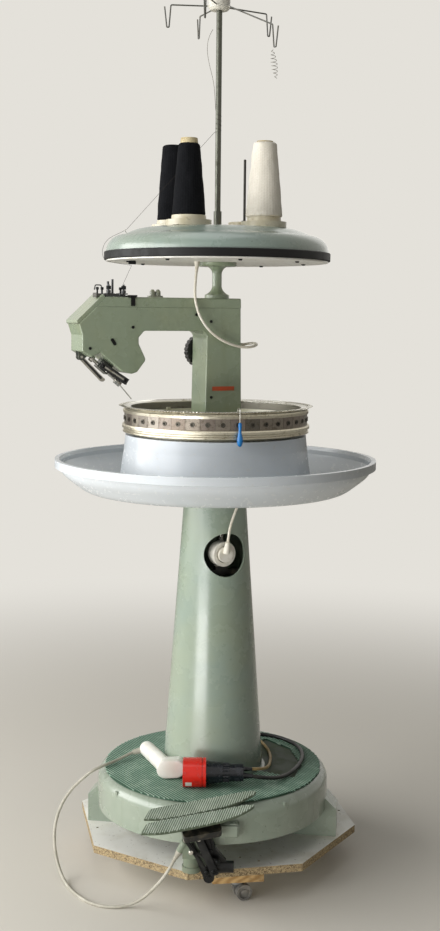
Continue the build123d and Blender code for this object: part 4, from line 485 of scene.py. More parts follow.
def tool_handle():
    """Hook tool: glossy blue plastic handle below, bare steel wire above it."""
    material, tree, place = surface("blue_handle_and_steel_wire", {"IOR": 1.49})
    wire = beyond(tree, place, "Z", TOOL_HANDLE_TOP)
    cloud = speckle(tree, place, 9, 0.35, 0.7, seed=1.0)
    tree.links.new(wire, tree.nodes[SHADER].inputs["Metallic"])
    tone = coats(tree, "1a7fc6", [(cloud, 1.0, "1168ad"), (wire, 1.0, "b9b7b0")])
    return finished(material, tone, (cloud, 0.2, 0.34))


ENAMEL_COLUMN = enamel("gloss_enamel_column", "8a998d", "8f9b88", "717a66", 0.3, 0.04)
# The base's top, from BASE_TOP up, is painted dark: a painted dark reflection on its level deck
ENAMEL_BASE = enamel("gloss_enamel_base", "8b9787", "969f8f", "687059", 0.7, 0.28,
                     top=(BASE_TOP, "3d4a3c"))
ENAMEL_HEAD = enamel("gloss_enamel_head", "87947c", "8c9578", "6d744e", 0.6, 0.28, 2.6)
ENAMEL_DISC = enamel("gloss_enamel_disc", "84958c", "8a978a", "69745f", 0.5, 0.15)
finishes = {
    "board": laminate_board(),
    "pine": sawn_pine(),
    "zinc": ground_steel("zinc_plate", "9fa1a0", "6d675c", 0.4, 0.6, (1, 1, 1)),
    "caster_fork": ground_steel("pressed_zinced_steel", "8d8f8f", "5f574a", 0.4, 0.6, (1, 1, 1)),
    "caster_wheel": rubber("grey_wheel_tread", "6d6b66", "a8a398", 0.8),
    "green_enamel": ENAMEL_COLUMN,
    "mat": rubber("ribbed_rubber_mat", "2b4b39", "5f7a68", 0.4),
    "cream_plastic": moulded("cream_socket_plastic", "f0ede4", "e2dccb", 0.3, 0.5, "a0977f"),
    "dark_metal": enamel("black_switchgear_paint", "1b1c1d", "26241f", "4d473a", 1.0, 0.5, 0.5),
    "bright_steel": ground_steel("bright_ground_steel", "b9b7b0", "6c5f4a", 0.2, 0.42),
    "screw_steel": ground_steel("blackened_screw_steel", "54514a", "2d2821", 0.3, 0.5, (1, 1, 1)),
    "tray_plastic": moulded("vacuum_formed_tray", "d0d6db", "c8cdd0", 0.24, 0.4, "bdbeba", 160, 0),
    "cream_enamel": enamel("cream_stove_enamel", "cbc8b0", "bdb89a", "8e8768", 0.6, 0.35),
    "drum_metal": ground_steel("machined_drum", "77746a", "453c2d", 0.35, 0.55, (0.2, 0.2, 1)),
    "brass": ground_steel("worn_nickel_on_brass", "c9c3b1", "877b60", 0.26, 0.42, (0.2, 0.2, 1), 0.25),
    "blue_plastic": tool_handle(),
    "needle_iron": enamel("dark_grey_bracket_paint", "3a3f3a", "2e302c", "5f5a48", 1.0, 0.4, 0.5),
    "oil_cap_black": enamel("oil_cap_paint", "8b8f7c", "a2a08a", "3c3a30", 1.0, 0.6, 0.5),
    "wheel_black": moulded("black_phenolic_resin", "080809", "101010", 0.34, 0.5, "2a2926"),
    "band_rubber": rubber("black_rubber_band", "0b0b0c", "252523", 0.4, 0.5, 0.7),
    "under_white": moulded("white_lacquer", "f6f4ee", "ebe8de", 0.3, 0.5, "c9c2b0"),
    "pad_cream": moulded("aged_cream_plastic", "d6cfb9", "c4ba9c", 0.35, 0.55, "8f8464"),
    "yarn": wound_yarn("black_worsted", "1b1c1f", "060607", "3a3b3e", 0.05),
    "pedal_green": rubber("pedal_sole_rubber", "56614f", "788370", 0.5),
    "plug_red": plug_shell(),
    "cord_grey": rubber("grey_rubber_sheath", "a9a597", "c9c5b8", 0.6, 0.5, 0.7),
    "cord_black": rubber("black_rubber_sheath", "141414", "4a4944", 0.35, 0.35, 0.6),
    "cord_tan": rubber("tan_rubber_sheath", "a48c5e", "8a7448", 0.6, 0.45, 0.65),
    "cord_white": moulded("cream_cord_sheath", "e9e5da", "dad3c2", 0.35, 0.5, "b3aa95"),
}
# Blue-black plug plastic: its blue tint is a painted blue sheen
PLUG_BLACK = moulded("black_plug_body", "15171b", "1d2027", 0.2, 0.42, "33363c")
ELBOW_CREAM = moulded("smooth_cream_plug", "f2f0e8", "e8e4d8", 0.3, 0.45)
# Pale colour of the mat's rib crowns: a painted highlight
RIB_HIGHLIGHT = rubber("mat_rib_painted_highlight", "7d9a87", "b9cab9", 0.6)
# Pale colour of the pedals' ribs: a painted highlight on their crowns
PEDAL_RIB_HIGHLIGHT = rubber("pedal_rib_painted_highlight", "a9b4a4", "c6cec0", 0.7)
YARN_WHITE = wound_yarn("undyed_worsted", "f7f2e6", "e6ddca", "ffffff", 0.2)

# Waxed card and a painted bar have the even, scuffed surface of moulded plastic; greasy
# iron, the painted dark reflection on the base's deck and cotton thread are as dull and dusty as rubber
CARD = moulded("waxed_card_core", "cdbf98", "b29f71", 0.55, 0.75, "7f6d48")
ORANGE = moulded("orange_enamel_bar", "b5481f", "9c4a26", 0.4, 0.6, "6d5a3c")
LINK_BLACK = rubber("greasy_black_linkage", "0d0e0f", "3b3a35", 0.35, 0.3, 0.55)
# Dark sheet colour: a painted dark reflection on the base's deck
DECK_DARK_REFLECTION = rubber("dull_deck_painted_reflection", "333d30", "566049", 0.5, 0.6, 0.8)
THREAD_DARK = rubber("brown_thread", "241e19", "453c32", 0.5, 0.8, 0.9)
THREAD_GREY = rubber("grey_thread", "77736a", "a09b90", 0.5, 0.8, 0.9)

# Steels and two-coloured pieces
PLATES = clamp_plates()
BRIGHT_PIN = ground_steel("polished_needle_steel", "d2d0c8", "8e8468", 0.12, 0.25)
BLACK_OXIDE = ground_steel("black_oxide_steel", "2a2b2b", "15130f", 0.25, 0.4)
MAST_STEEL = ground_steel("dull_drawn_tube", "5c5d55", "3b3a32", 0.34, 0.55)
SPINDLE_STEEL = ground_steel("dark_spindle_rod", "3a3936", "241f19", 0.3, 0.5)
BLUED = ground_steel("blued_tension_steel", "4b4c4d", "1d1a17", 0.22, 0.38)
# The socket below SOCKET_LOW is near black: painted shade of the hole it sits in
SOCKET_CREAM = two_tone("cream_socket_in_painted_hole_shade", "e2dfd4", "1b1a18", "Z", SOCKET_LOW)
SWITCH_BODY = two_tone("black_switch_body_on_grey_pot", "161715", "77826f", "Z", POT_EDGE)
GUIDE_STEEL = two_tone("pale_hub_and_steel_wire_arms", "d5d2c6", "4c4c46", "R", GUIDE_HUB_R)

# Each piece of the frame wears its slot's finish, or one of its own
slots = {row["node"]: row["material_slot"] for row in frame["record"]["subparts"]}
special = {
    "column": ENAMEL_COLUMN, "base_casting": ENAMEL_BASE, "head_casting": ENAMEL_HEAD,
    "head_covers": ENAMEL_HEAD, "pillar": ENAMEL_HEAD, "yarn_disc": ENAMEL_DISC,
    "segment_plates": PLATES, "dial_points": BRIGHT_PIN, "rocker_bar": BRIGHT_PIN,
    "head_fittings": BLACK_OXIDE, "thread_tension": BLUED, "tension_nut_1": BLACK_OXIDE,
    "tension_nut_2": BLACK_OXIDE, "mast": MAST_STEEL, "cone_spindles": SPINDLE_STEEL,
    "column_socket": SOCKET_CREAM, "pedal_base": SWITCH_BODY, "thread_guide": GUIDE_STEEL,
    "pedal_linkage": LINK_BLACK,
}
for name, node in nodes.items():
    for holder in node.material_slots:
        holder.material = special.get(name, finishes[slots[name]])
for name, piece in cord_pieces.items():
    piece.data.materials.append(finishes[slots[name]])


# Pieces made from points and faces, with the angle past which an edge is sharp
TURNED_SHARP = math.radians(35)
SLAB_SHARP = math.radians(50)


def on_body(name, data, material, body):
    """A piece of one material from a finished mesh; it rides on a body of the frame."""
    data.materials.clear()
    data.materials.append(material)
    piece = bpy.data.objects.new(name, data)
    scene.collection.objects.link(piece)
    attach(piece, body)
    return piece


def evaluated_mesh(piece, name):
    """A plain mesh of what a curve or a modifier makes."""
    bpy.context.view_layer.update()
    ready = bpy.context.evaluated_depsgraph_get()
    data = bpy.data.meshes.new_from_object(piece.evaluated_get(ready), depsgraph=ready)
    data.name = name
    return data


def mesh_piece(name, points, faces, material, body, smooth=True):
    """A piece from points in millimetres, its faces turned outwards."""
    data = bpy.data.meshes.new(name)
    data.from_pydata([Vector(p) * MM for p in points], [], faces)
    data.update()
    shaped = bmesh.new()
    shaped.from_mesh(data)
    bmesh.ops.recalc_face_normals(shaped, faces=shaped.faces)
    shaped.to_mesh(data)
    shaped.free()
    if smooth:
        data.shade_smooth()
        data.set_sharp_from_angle(angle=TURNED_SHARP)
    return on_body(name, data, material, body)


def ring_faces(rings, sides, looped=False):
    """Faces between rings of points that follow one another. The last ring joins the
    first, or each end gets a lid."""
    faces = []
    for ring in range(rings if looped else rings - 1):
        here, following = ring * sides, (ring + 1) % rings * sides
        for step in range(sides):
            after = (step + 1) % sides
            faces.append((here + step, here + after, following + after, following + step))
    if not looped:
        faces += [tuple(range(sides)), tuple(range((rings - 1) * sides, rings * sides))]
    return faces


def turned(name, profile, foot, tip, material, sides=40):
    """A turned piece: profile holds (way from foot to tip, radius), closed at both ends."""
    foot, tip = Vector(foot), Vector(tip)
    way = (tip - foot).normalized()
    side = way.orthogonal().normalized()
    across = way.cross(side)
    points = []
    for along, radius in profile:
        for step in range(sides):
            angle = math.tau * step / sides
            points.append(foot + way * along + (side * math.cos(angle) + across * math.sin(angle)) * radius)
    return mesh_piece(name, points, ring_faces(len(profile), sides), material, "machine")


# Strain reliefs: tapered sleeves with grooves, which stiffen a cord where it leaves a
# housing. Root, a point further out, radius at the root, radius at the cord, length, slot
RELIEFS = {
    "pedal_cord_relief": ((-69, -289, 143), (-80, -288, 123), 7.4, 4.0, 26, "cord_grey"),
    "mains_plug_relief": ((69.8, -163, 266), (86, -163, 265.5), 7.5, 5.0, 21, "cord_black"),
    "link_plug_relief": ((69.8, -156.1, 279), (88, -153, 278), 5.6, 4.0, 20, "cord_black"),
    "mains_column_relief": ((8, 120, 262), (8, 144, 262), 7.6, 5.0, 23, "cord_black"),
    "link_column_relief": ((25, 120, 262), (25, 139, 261.8), 7.0, 4.0, 21, "cord_black"),
    "head_cord_upper_relief": ((-45, -36, 1415), (-46, -40, 1396), 6.4, 3.5, 22, "cord_white"),
    "head_cord_lower_relief": ((46.0, -0.3, 1227.8), (56.5, 4, 1229), 6.0, 3.5, 20, "cord_white"),
}
GROOVES = 6
GROOVE_DEEP = 1.1
RIB_SHARE = 0.62
for name, (root, towards, wide, core, length, slot_name) in RELIEFS.items():
    profile = [(0, wide)]
    for groove in range(GROOVES):
        start = 2 + (length - 4) * groove / GROOVES
        end = 2 + (length - 4) * (groove + RIB_SHARE) / GROOVES
        radius = wide - (wide - core) * (groove + 0.5) / GROOVES
        profile += [(start, radius), (end, radius - 0.2),
                    (end + 0.4, radius - GROOVE_DEEP), (end + 1.2, radius - GROOVE_DEEP)]
    profile += [(length - 1, core + 0.5), (length, core)]
    sleeve = PLUG_BLACK if slot_name == "cord_black" else finishes[slot_name]
    turned(name, profile, root, towards, sleeve)


# Wound yarn on its card cores: height and depth of its rounded foot and top, and how far
# it swells, its strands stand out and its lumps rise
FOOT_HIGH, FOOT_DEEP = 4, 3
TOP_HIGH, TOP_DEEP = 5, 4.5
SWELL = 0.5
STRAND_HIGH = 0.6
LUMP_HIGH = 1.2


def cone_outline(height, low_r, top_r, tall):
    """Radius of the yarn at a height above its lower edge, in millimetres."""
    if height < FOOT_HIGH:
        return low_r - FOOT_DEEP * (1 - height / FOOT_HIGH) ** 2
    if height > tall - TOP_HIGH:
        drop = (height - tall + TOP_HIGH) / TOP_HIGH
        return top_r + SWELL - TOP_DEEP * drop ** 2
    share = (height - FOOT_HIGH) / (tall - FOOT_HIGH)
    return low_r + (top_r - low_r) * share + SWELL * math.sin(share * math.pi)


def yarn_cone(name, material, seed):
    """A cross-wound cone of yarn: strands at two slants, on gentle lumps, with a hollow
    for the card core that stands in it."""
    azimuth, low_r, top_r, tall = CONES[name]
    name = "yarn_" + name
    centre = polar(CONE_RING_R, azimuth, CONE_LOW)
    sides, rows = 168, 132
    hollow = ((20.0, tall - 2), (28.0, 0.0))
    points, marks = [], []
    for row in range(rows + 1):
        height = tall * row / rows
        for step in range(sides):
            turns = step / sides
            angle = math.tau * turns
            strand = 0.0
            for slant in (YARN_SLANT, -YARN_SLANT):
                strand = max(strand, abs(math.sin(math.pi * (slant * turns + YARN_STRANDS * row / rows))))
            lump = noise.noise(Vector((math.cos(angle) * 2, math.sin(angle) * 2, height / 24 + seed)))
            radius = cone_outline(height, low_r, top_r, tall) - 1.0
            radius += STRAND_HIGH * strand + LUMP_HIGH * lump
            points.append(centre + polar(radius, math.degrees(angle), height))
            marks.append((turns, row / rows))
    for radius, height in hollow:
        for step in range(sides):
            points.append(centre + polar(radius, 360 * step / sides, height))
            marks.append((step / sides, 0.0))
    faces = ring_faces(rows + 1 + len(hollow), sides, looped=True)
    piece = mesh_piece(name, points, faces, material, "machine")

    # The map of the winding goes once round, and its last face ends at 1, not at 0
    winding = piece.data.uv_layers.new(name="winding")
    for loop in piece.data.loops:
        winding.data[loop.index].uv = marks[loop.vertex_index]
    for face in piece.data.polygons:
        spots = [winding.data[i] for i in face.loop_indices]
        if max(s.uv[0] for s in spots) - min(s.uv[0] for s in spots) > 0.5:
            for s in spots:
                if s.uv[0] < 0.5:
                    s.uv[0] += 1.0
    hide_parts("yarn_cones")
    card = turned(
        name + "_card", [
            (0, 28.5), (CORE_TALL - 10, 19.4), (CORE_TALL - 1, 18.4), (CORE_TALL, 18.0),
            (CORE_TALL, 16.6), (CORE_TALL - 1, 16.2), (CORE_TALL - 24, 17.2)],
        centre, centre + Vector((0, 0, 1)), CARD, sides=48)
    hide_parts("yarn_cones")
    return piece


# Yarn of each cone, the seed of its lumps and the seed of its stray fibres
YARNS = {
    "black_back": (finishes["yarn"], 1.0, 3), "black_front": (finishes["yarn"], 4.0, 7),
    "white": (YARN_WHITE, 9.0, 11),
}
yarn_pieces = {name: yarn_cone(name, material, seed) for name, (material, seed, _) in YARNS.items()}


# Rules for what repeats, each a node tree with named sizes
def rule(name, inputs):
    """A node tree with named inputs, and the sockets that hold what it is given."""
    tree = bpy.data.node_groups.new(name, "GeometryNodeTree")
    tree.interface.new_socket(name="Geometry", in_out="OUTPUT", socket_type="NodeSocketGeometry")
    for label, kind in inputs.items():
        tree.interface.new_socket(name=label, in_out="INPUT", socket_type="NodeSocket" + kind)
    given = tree.nodes.new("NodeGroupInput").outputs
    return tree, given


def closed_rule(tree, geometry, material):
    """Ends a rule with real geometry in its material."""
    real = add(tree, "GeometryNodeRealizeInstances", {"Geometry": geometry}).outputs["Geometry"]
    flat = add(tree, "GeometryNodeSetShadeSmooth", {"Geometry": real, "Shade Smooth": False})
    done = add(tree, "GeometryNodeSetMaterial", {
        "Geometry": flat.outputs["Geometry"], "Material": material})
    add(tree, "NodeGroupOutput", {"Geometry": done.outputs["Geometry"]})


def grown(name, tree, sizes, body):
    """Runs a rule once and keeps its result as a plain mesh on a body."""
    carrier = bpy.data.objects.new(name, bpy.data.meshes.new(name + "_start"))
    scene.collection.objects.link(carrier)
    modifier = carrier.modifiers.new("rule", "NODES")
    modifier.node_group = tree
    for item in tree.interface.items_tree:
        if item.in_out == "INPUT" and item.name in sizes:
            modifier[item.identifier] = sizes[item.name]
    data = evaluated_mesh(carrier, name)
    carrier.modifiers.clear()
    carrier.data = data
    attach(carrier, body)
    return carrier


RIB_DROP = 4.0
LEVEL_ENOUGH = 0.9


def rib_rule():
    """Short ridges in rows. Each is dropped on a sheet from a little above it and stays
    where it meets a face that lies nearly level there."""
    tree, given = rule("ribs_on_a_sheet", {
        "Sheet": "Object", "Long": "Float", "Wide": "Float", "Rows": "Int", "Parts": "Int",
        "Ridge Radius": "Float", "Part Length": "Float", "Sink": "Float", "Centre": "Vector",
        "Turn": "Rotation", "Material": "Material"})
    grid = add(tree, "GeometryNodeMeshGrid", {
        "Size X": given["Long"], "Size Y": given["Wide"], "Vertices X": given["Parts"],
        "Vertices Y": given["Rows"]}).outputs["Mesh"]
    placed = add(tree, "GeometryNodeTransform", {
        "Geometry": grid, "Translation": given["Centre"], "Rotation": given["Turn"]})
    sheet = add(tree, "GeometryNodeObjectInfo", {"Object": given["Sheet"]},
                transform_space="RELATIVE").outputs["Geometry"]
    up = add(tree, "FunctionNodeRotateVector", {
        "Vector": (0, 0, 1), "Rotation": given["Turn"]}).outputs["Vector"]
    down = add(tree, "ShaderNodeVectorMath", {0: up, "Scale": -1.0}, operation="SCALE").outputs[0]
    spot = add(tree, "GeometryNodeInputPosition").outputs["Position"]
    lift = add(tree, "ShaderNodeVectorMath", {0: up, "Scale": RIB_DROP * MM}, operation="SCALE").outputs[0]
    start = add(tree, "ShaderNodeVectorMath", {0: spot, 1: lift}, operation="ADD").outputs[0]
    hit = add(tree, "GeometryNodeRaycast", {
        "Target Geometry": sheet, "Source Position": start, "Ray Direction": down,
        "Ray Length": 2 * RIB_DROP * MM})
    facing = add(tree, "ShaderNodeVectorMath", {0: hit.outputs["Hit Normal"], 1: up},
                 operation="DOT_PRODUCT").outputs["Value"]
    level = add(tree, "FunctionNodeCompare", {0: facing, 1: LEVEL_ENOUGH}, operation="GREATER_THAN")
    kept = add(tree, "FunctionNodeBooleanMath", {
        0: hit.outputs["Is Hit"], 1: level.outputs["Result"]}, operation="AND").outputs["Boolean"]
    dots = add(tree, "GeometryNodeMeshToPoints", {
        "Mesh": placed.outputs["Geometry"], "Selection": kept,
        "Position": hit.outputs["Hit Position"]}).outputs["Points"]
    ridge = add(tree, "GeometryNodeMeshCylinder", {
        "Vertices": 6, "Radius": given["Ridge Radius"], "Depth": given["Part Length"]},
        fill_type="NONE").outputs["Mesh"]
    lying = add(tree, "GeometryNodeTransform", {
        "Geometry": ridge, "Translation": (0, 0, 0), "Rotation": (0, math.pi / 2, 0)})
    sunk = add(tree, "GeometryNodeTransform", {
        "Geometry": lying.outputs["Geometry"],
        "Translation": add(tree, "ShaderNodeCombineXYZ", {"Z": given["Sink"]}).outputs["Vector"]})
    rows = add(tree, "GeometryNodeInstanceOnPoints", {
        "Points": dots, "Instance": sunk.outputs["Geometry"], "Rotation": given["Turn"]})
    closed_rule(tree, rows.outputs["Instances"], given["Material"])
    return tree


def ring_rule():
    """Tapered rods in a ring. With no lean each one lies along its own radius, and with a
    lean far greater than the ring they all lie along the ring's axis."""
    tree, given = rule("rods_in_a_ring", {
        "Count": "Int", "Ring Radius": "Float", "Rod Length": "Float", "Root": "Float",
        "Point": "Float", "Sides": "Int", "Lean": "Float", "Centre": "Vector",
        "Turn": "Rotation", "Material": "Material"})
    ring = add(tree, "GeometryNodeMeshCircle", {
        "Vertices": given["Count"], "Radius": given["Ring Radius"]}).outputs["Mesh"]
    rod = add(tree, "GeometryNodeMeshCone", {
        "Vertices": given["Sides"], "Radius Top": given["Point"], "Radius Bottom": given["Root"],
        "Depth": given["Rod Length"], "Side Segments": 1, "Fill Segments": 1}).outputs["Mesh"]
    spot = add(tree, "GeometryNodeInputPosition").outputs["Position"]
    lift = add(tree, "ShaderNodeCombineXYZ", {"Z": given["Lean"]}).outputs["Vector"]
    aim = add(tree, "ShaderNodeVectorMath", {0: spot, 1: lift}, operation="ADD").outputs[0]
    facing = add(tree, "FunctionNodeAlignRotationToVector", {"Vector": aim}, axis="Z")
    rods = add(tree, "GeometryNodeInstanceOnPoints", {
        "Points": ring, "Instance": rod, "Rotation": facing.outputs["Rotation"]})
    placed = add(tree, "GeometryNodeTransform", {
        "Geometry": rods.outputs["Instances"], "Translation": given["Centre"],
        "Rotation": given["Turn"]})
    closed_rule(tree, placed.outputs["Geometry"], given["Material"])
    return tree


def fuzz_rule():
    """Stray fibres that stand off a surface, turned at random from a fixed seed. The
    fibre is drawn about 2 mm long and then scaled to its length."""
    tree, given = rule("stray_fibres", {
        "Surface": "Object", "Density": "Float", "Fibre": "Float", "Thick": "Float",
        "Seed": "Int", "Material": "Material"})
    skin = add(tree, "GeometryNodeObjectInfo", {"Object": given["Surface"]},
               transform_space="RELATIVE").outputs["Geometry"]
    dots = add(tree, "GeometryNodeDistributePointsOnFaces", {
        "Mesh": skin, "Density": given["Density"], "Seed": given["Seed"]})
    arc = add(tree, "GeometryNodeCurveQuadraticBezier", {
        "Resolution": 4, "Start": (0, 0, 0), "Middle": (0, 1.0 * MM, 1.6 * MM),
        "End": (2.2 * MM, 1.6 * MM, 1.6 * MM)}).outputs["Curve"]
    hair = add(tree, "GeometryNodeCurveToMesh", {
        "Curve": arc, "Profile Curve": add(tree, "GeometryNodeCurvePrimitiveCircle", {
            "Resolution": 3, "Radius": given["Thick"]}).outputs["Curve"]}).outputs["Mesh"]
    spin = add(tree, "FunctionNodeRandomValue", {
        0: (0, 0, 0), 1: (math.tau, 1.2, math.tau), "Seed": given["Seed"]},
        data_type="FLOAT_VECTOR").outputs[0]
    turned_hair = add(tree, "FunctionNodeRotateRotation", {
        "Rotation": dots.outputs["Rotation"],
        "Rotate By": add(tree, "FunctionNodeEulerToRotation", {"Euler": spin}).outputs["Rotation"],
    }, rotation_space="LOCAL").outputs["Rotation"]
    size = add(tree, "ShaderNodeMath", {0: given["Fibre"], 1: 2 * MM}, operation="DIVIDE").outputs[0]
    fibres = add(tree, "GeometryNodeInstanceOnPoints", {
        "Points": dots.outputs["Points"], "Instance": hair, "Rotation": turned_hair, "Scale": size})
    closed_rule(tree, fibres.outputs["Instances"], given["Material"])
    return tree


RIBS = rib_rule()
RODS = ring_rule()
FIBRES = fuzz_rule()
ALONG_AXIS = -1e6

# Ribs of the mat, their pale colour a painted highlight on the crowns
MAT_PITCH = 6.4
MAT_PART = 6.0
mat_wide = 2 * mat_high.x
grown("mat_ribs", RIBS, {
    "Sheet": nodes["base_mat"], "Long": mat_wide * MM, "Wide": mat_wide * MM,
    "Rows": round(mat_wide / MAT_PITCH), "Parts": round(mat_wide / MAT_PART),
    "Ridge Radius": 1.7 * MM, "Part Length": MAT_PART * 1.03 * MM, "Sink": -0.9 * MM,
    "Centre": (0, 0, mat_high.z * MM), "Turn": (0, 0, math.radians(-56)),
    "Material": RIB_HIGHLIGHT}, "machine")

# Pedals: ribbed soles, their outline in shares of the length, from the heel, and of the
# width, from the back edge
PEDAL_TURN = Matrix((PEDAL_X, PEDAL_Y, PEDAL_UP)).transposed()
PEDAL_PITCH = 4.6
PEDAL_PART = 4.0
PEDAL_LONG = 252.0
PEDAL_WIDTH = 37.5
PEDAL_THICK = 6.0
PEDAL_SKEW = 15.0
PEDAL_PIN_X = -34.0
PEDAL_OUTLINE = [
    (0.0, 0.69), (0.17, 0.96), (0.48, 1.0), (0.73, 0.92),
    (0.89, 0.62), (1.0, 0.24), (0.95, 0.04), (0.84, 0.0),
]
RIM_ROUND = 1.0


def on_pedal(x, y, up):
    """A point in the pedals' own directions."""
    return PEDAL_ORIGIN + PEDAL_X * x + PEDAL_Y * y + PEDAL_UP * up


def rounded_line(stops, steps):
    """Points on a smooth curve through the stops, so many for each stretch but the end."""
    ends = [stops[0] * 2 - stops[1]] + stops + [stops[-1] * 2 - stops[-2]]
    line = []
    for before, first, last, after in zip(ends, ends[1:], ends[2:], ends[3:]):
        square = before * 2 - first * 5 + last * 4 - after
        cube = first * 3 - before - last * 3 + after
        for step in range(steps):
            way = step / steps
            line.append((first * 2 + (last - before) * way + square * way ** 2 + cube * way ** 3) / 2)
    return line


def pedal_sole(side, back_edge, heel):
    """One sole with a slanted heel and a pointed toe, its straight edge at the back."""
    stops = [Vector((heel + along * PEDAL_LONG, back_edge - across * PEDAL_WIDTH))
             for along, across in PEDAL_OUTLINE]
    flat = rounded_line(stops, 6)
    flat += [stops[-1], Vector((heel + PEDAL_SKEW + 6, back_edge))]
    flat.append(Vector((heel + PEDAL_SKEW, back_edge - 3)))
    centre = sum(flat, Vector((0, 0))) / len(flat)
    rim = [(RIM_ROUND, 0), (0, -RIM_ROUND), (0, RIM_ROUND - PEDAL_THICK), (RIM_ROUND, -PEDAL_THICK)]
    points = []
    for inset, up in rim:
        for spot in flat:
            inward = (centre - spot).normalized() * inset
            points.append(on_pedal(spot.x + inward.x, spot.y + inward.y, up))
    sole = mesh_piece(f"pedal_sole_{side}", points, ring_faces(len(rim), len(flat)),
                      finishes["pedal_green"], f"{side}_pedal")
    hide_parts(f"pedal_{side}")
    return sole


slanted = (PEDAL_TURN @ Matrix.Rotation(math.radians(60), 3, "Z")).to_euler()
SHEET_SIDE = 360.0
for side, back_edge, heel in (("left", 39.0, -146.0), ("right", -1.5, -160.0)):
    sole = pedal_sole(side, back_edge, heel)
    # The ribs' pale colour is a painted highlight
    grown(f"pedal_ribs_{side}", RIBS, {
        "Sheet": sole, "Long": SHEET_SIDE * MM, "Wide": SHEET_SIDE * MM,
        "Rows": round(SHEET_SIDE / PEDAL_PITCH), "Parts": round(SHEET_SIDE / PEDAL_PART),
        "Ridge Radius": 1.35 * MM, "Part Length": (PEDAL_PART + 0.1) * MM,
        "Sink": -0.6 * MM, "Centre": PEDAL_ORIGIN * MM, "Turn": slanted,
        "Material": PEDAL_RIB_HIGHLIGHT}, f"{side}_pedal")

# Rings of points, screws and ribs
POINT_COUNT = 720
grown("dial_needles", RODS, {
    "Count": POINT_COUNT, "Ring Radius": (points_high.x - 5.2) * MM, "Rod Length": 10.0 * MM,
    "Root": 0.55 * MM, "Point": 0.14 * MM, "Sides": 5, "Lean": 0.0,
    "Centre": (0, 0, (points_high.z + 0.7) * MM), "Turn": (0, 0, 0), "Material": BRIGHT_PIN},
    "dial")
grown("underplate_screws", RODS, {
    "Count": 8, "Ring Radius": 205 * MM, "Rod Length": 3.2 * MM, "Root": 5.0 * MM,
    "Point": 3.6 * MM, "Sides": 14, "Lean": ALONG_AXIS, "Centre": (0, 0, UNDERPLATE_LOW * MM),
    "Turn": (0, 0, math.radians(14)), "Material": BLACK_OXIDE}, "machine")
grown("plug_nut_ribs", RODS, {
    "Count": 18, "Ring Radius": 19.6 * MM, "Rod Length": 24 * MM, "Root": 1.9 * MM, "Point": 1.9 * MM,
    "Sides": 8, "Lean": ALONG_AXIS, "Centre": (38 * MM, -160 * MM, RED_AXIS_Z * MM),
    "Turn": (0, math.pi / 2, 0), "Material": PLUG_BLACK}, "machine")

# Stray fibres on the cones
for name, (material, _, seed) in YARNS.items():
    grown(f"yarn_{name}_fuzz", FIBRES, {
        "Surface": yarn_pieces[name], "Density": 26000.0, "Fibre": 2.2 * MM,
        "Thick": 0.07 * MM, "Seed": seed, "Material": material}, "machine")


# Small parts and threads
def wire(name, points, wide, material, slot_name):
    """A thin wire or thread on the points, kept as a plain mesh."""
    line = smooth_line(name + "_line", points, wide)
    line.data.bevel_resolution = 1
    line.data.resolution_u = 5
    data = evaluated_mesh(line, name)
    bpy.data.curves.remove(line.data)
    data.shade_smooth()
    return on_body(name, data, material, "machine")


def slab(name, centre, x_dir, y_dir, size, bevel, material, body="machine"):
    """A block with rounded edges, its sides along two directions and their normal."""
    x_dir, y_dir = Vector(x_dir).normalized(), Vector(y_dir).normalized()
    z_dir = x_dir.cross(y_dir)
    shaped = bmesh.new()
    bmesh.ops.create_cube(shaped, size=1.0)
    for point in shaped.verts:
        spot = [share * side for share, side in zip(point.co, size)]
        point.co = (Vector(centre) + x_dir * spot[0] + y_dir * spot[1] + z_dir * spot[2]) * MM
    bmesh.ops.bevel(shaped, geom=shaped.edges, offset=bevel * MM, segments=3, affect="EDGES")
    data = bpy.data.meshes.new(name)
    shaped.to_mesh(data)
    shaped.free()
    data.shade_smooth()
    data.set_sharp_from_angle(angle=SLAB_SHARP)
    return on_body(name, data, material, body)


BAR_FACE = -HEAD_HALF - 0.1
slab("orange_bar", on_head(1, 1131, BAR_FACE), polar(1, HEAD_AZIMUTH), (0, 0, 1),
     (54, 9.5, 0.5), 0.2, ORANGE)

# Screws of the needle guide, along and out from its upper corner on the head's plane
GUIDE_CORNER_U, GUIDE_CORNER_Z = 291, 1213
GUIDE_COS, GUIDE_SIN = 0.7604, 0.6495
GUIDE_FACE = -13.0
for count, (along, out) in enumerate(((27, 8), (27, 17), (45, 8), (45, 17))):
    u = GUIDE_CORNER_U - GUIDE_COS * along + GUIDE_SIN * out
    z = GUIDE_CORNER_Z - GUIDE_SIN * along - GUIDE_COS * out
    turned(f"guide_screw_{count}", [(0, 2.6), (1.2, 2.6), (1.7, 1.9)], on_head(u, z, GUIDE_FACE),
           on_head(u, z, GUIDE_FACE - 1), BRIGHT_PIN, sides=18)


def eyelet(name, foot, up, across, loop_r):
    """A wire loop on a short stem."""
    foot, up, across = Vector(foot), Vector(up).normalized(), Vector(across).normalized()
    centre = foot + up * (loop_r + 3)
    points = [foot - up, foot + up * 1.5]
    for step in range(13):
        angle = math.tau * step / 12 - math.pi / 2
        points.append(centre + across * loop_r * math.cos(angle) + up * loop_r * math.sin(angle))
    return wire(name, points, 1.3, BRIGHT_PIN, "bright_steel")


eyelet("dome_eyelet", (-201, -60, 1474), (-0.55, -0.16, 1), (0, 1, 0), 4.0)
slab("thread_block", (-189, -60, 1411), (1, 0, 0), (0, 1, 0), (17, 9, 8), 1.0, BLACK_OXIDE)


def tight(stops):
    """A tight thread through its stops: two more points near the ends of each stretch."""
    route = [Vector(stops[0])]
    for first, last in zip(stops, stops[1:]):
        first, last = Vector(first), Vector(last)
        route += [first.lerp(last, 0.04), first.lerp(last, 0.96)]
    return route + [Vector(stops[-1])]


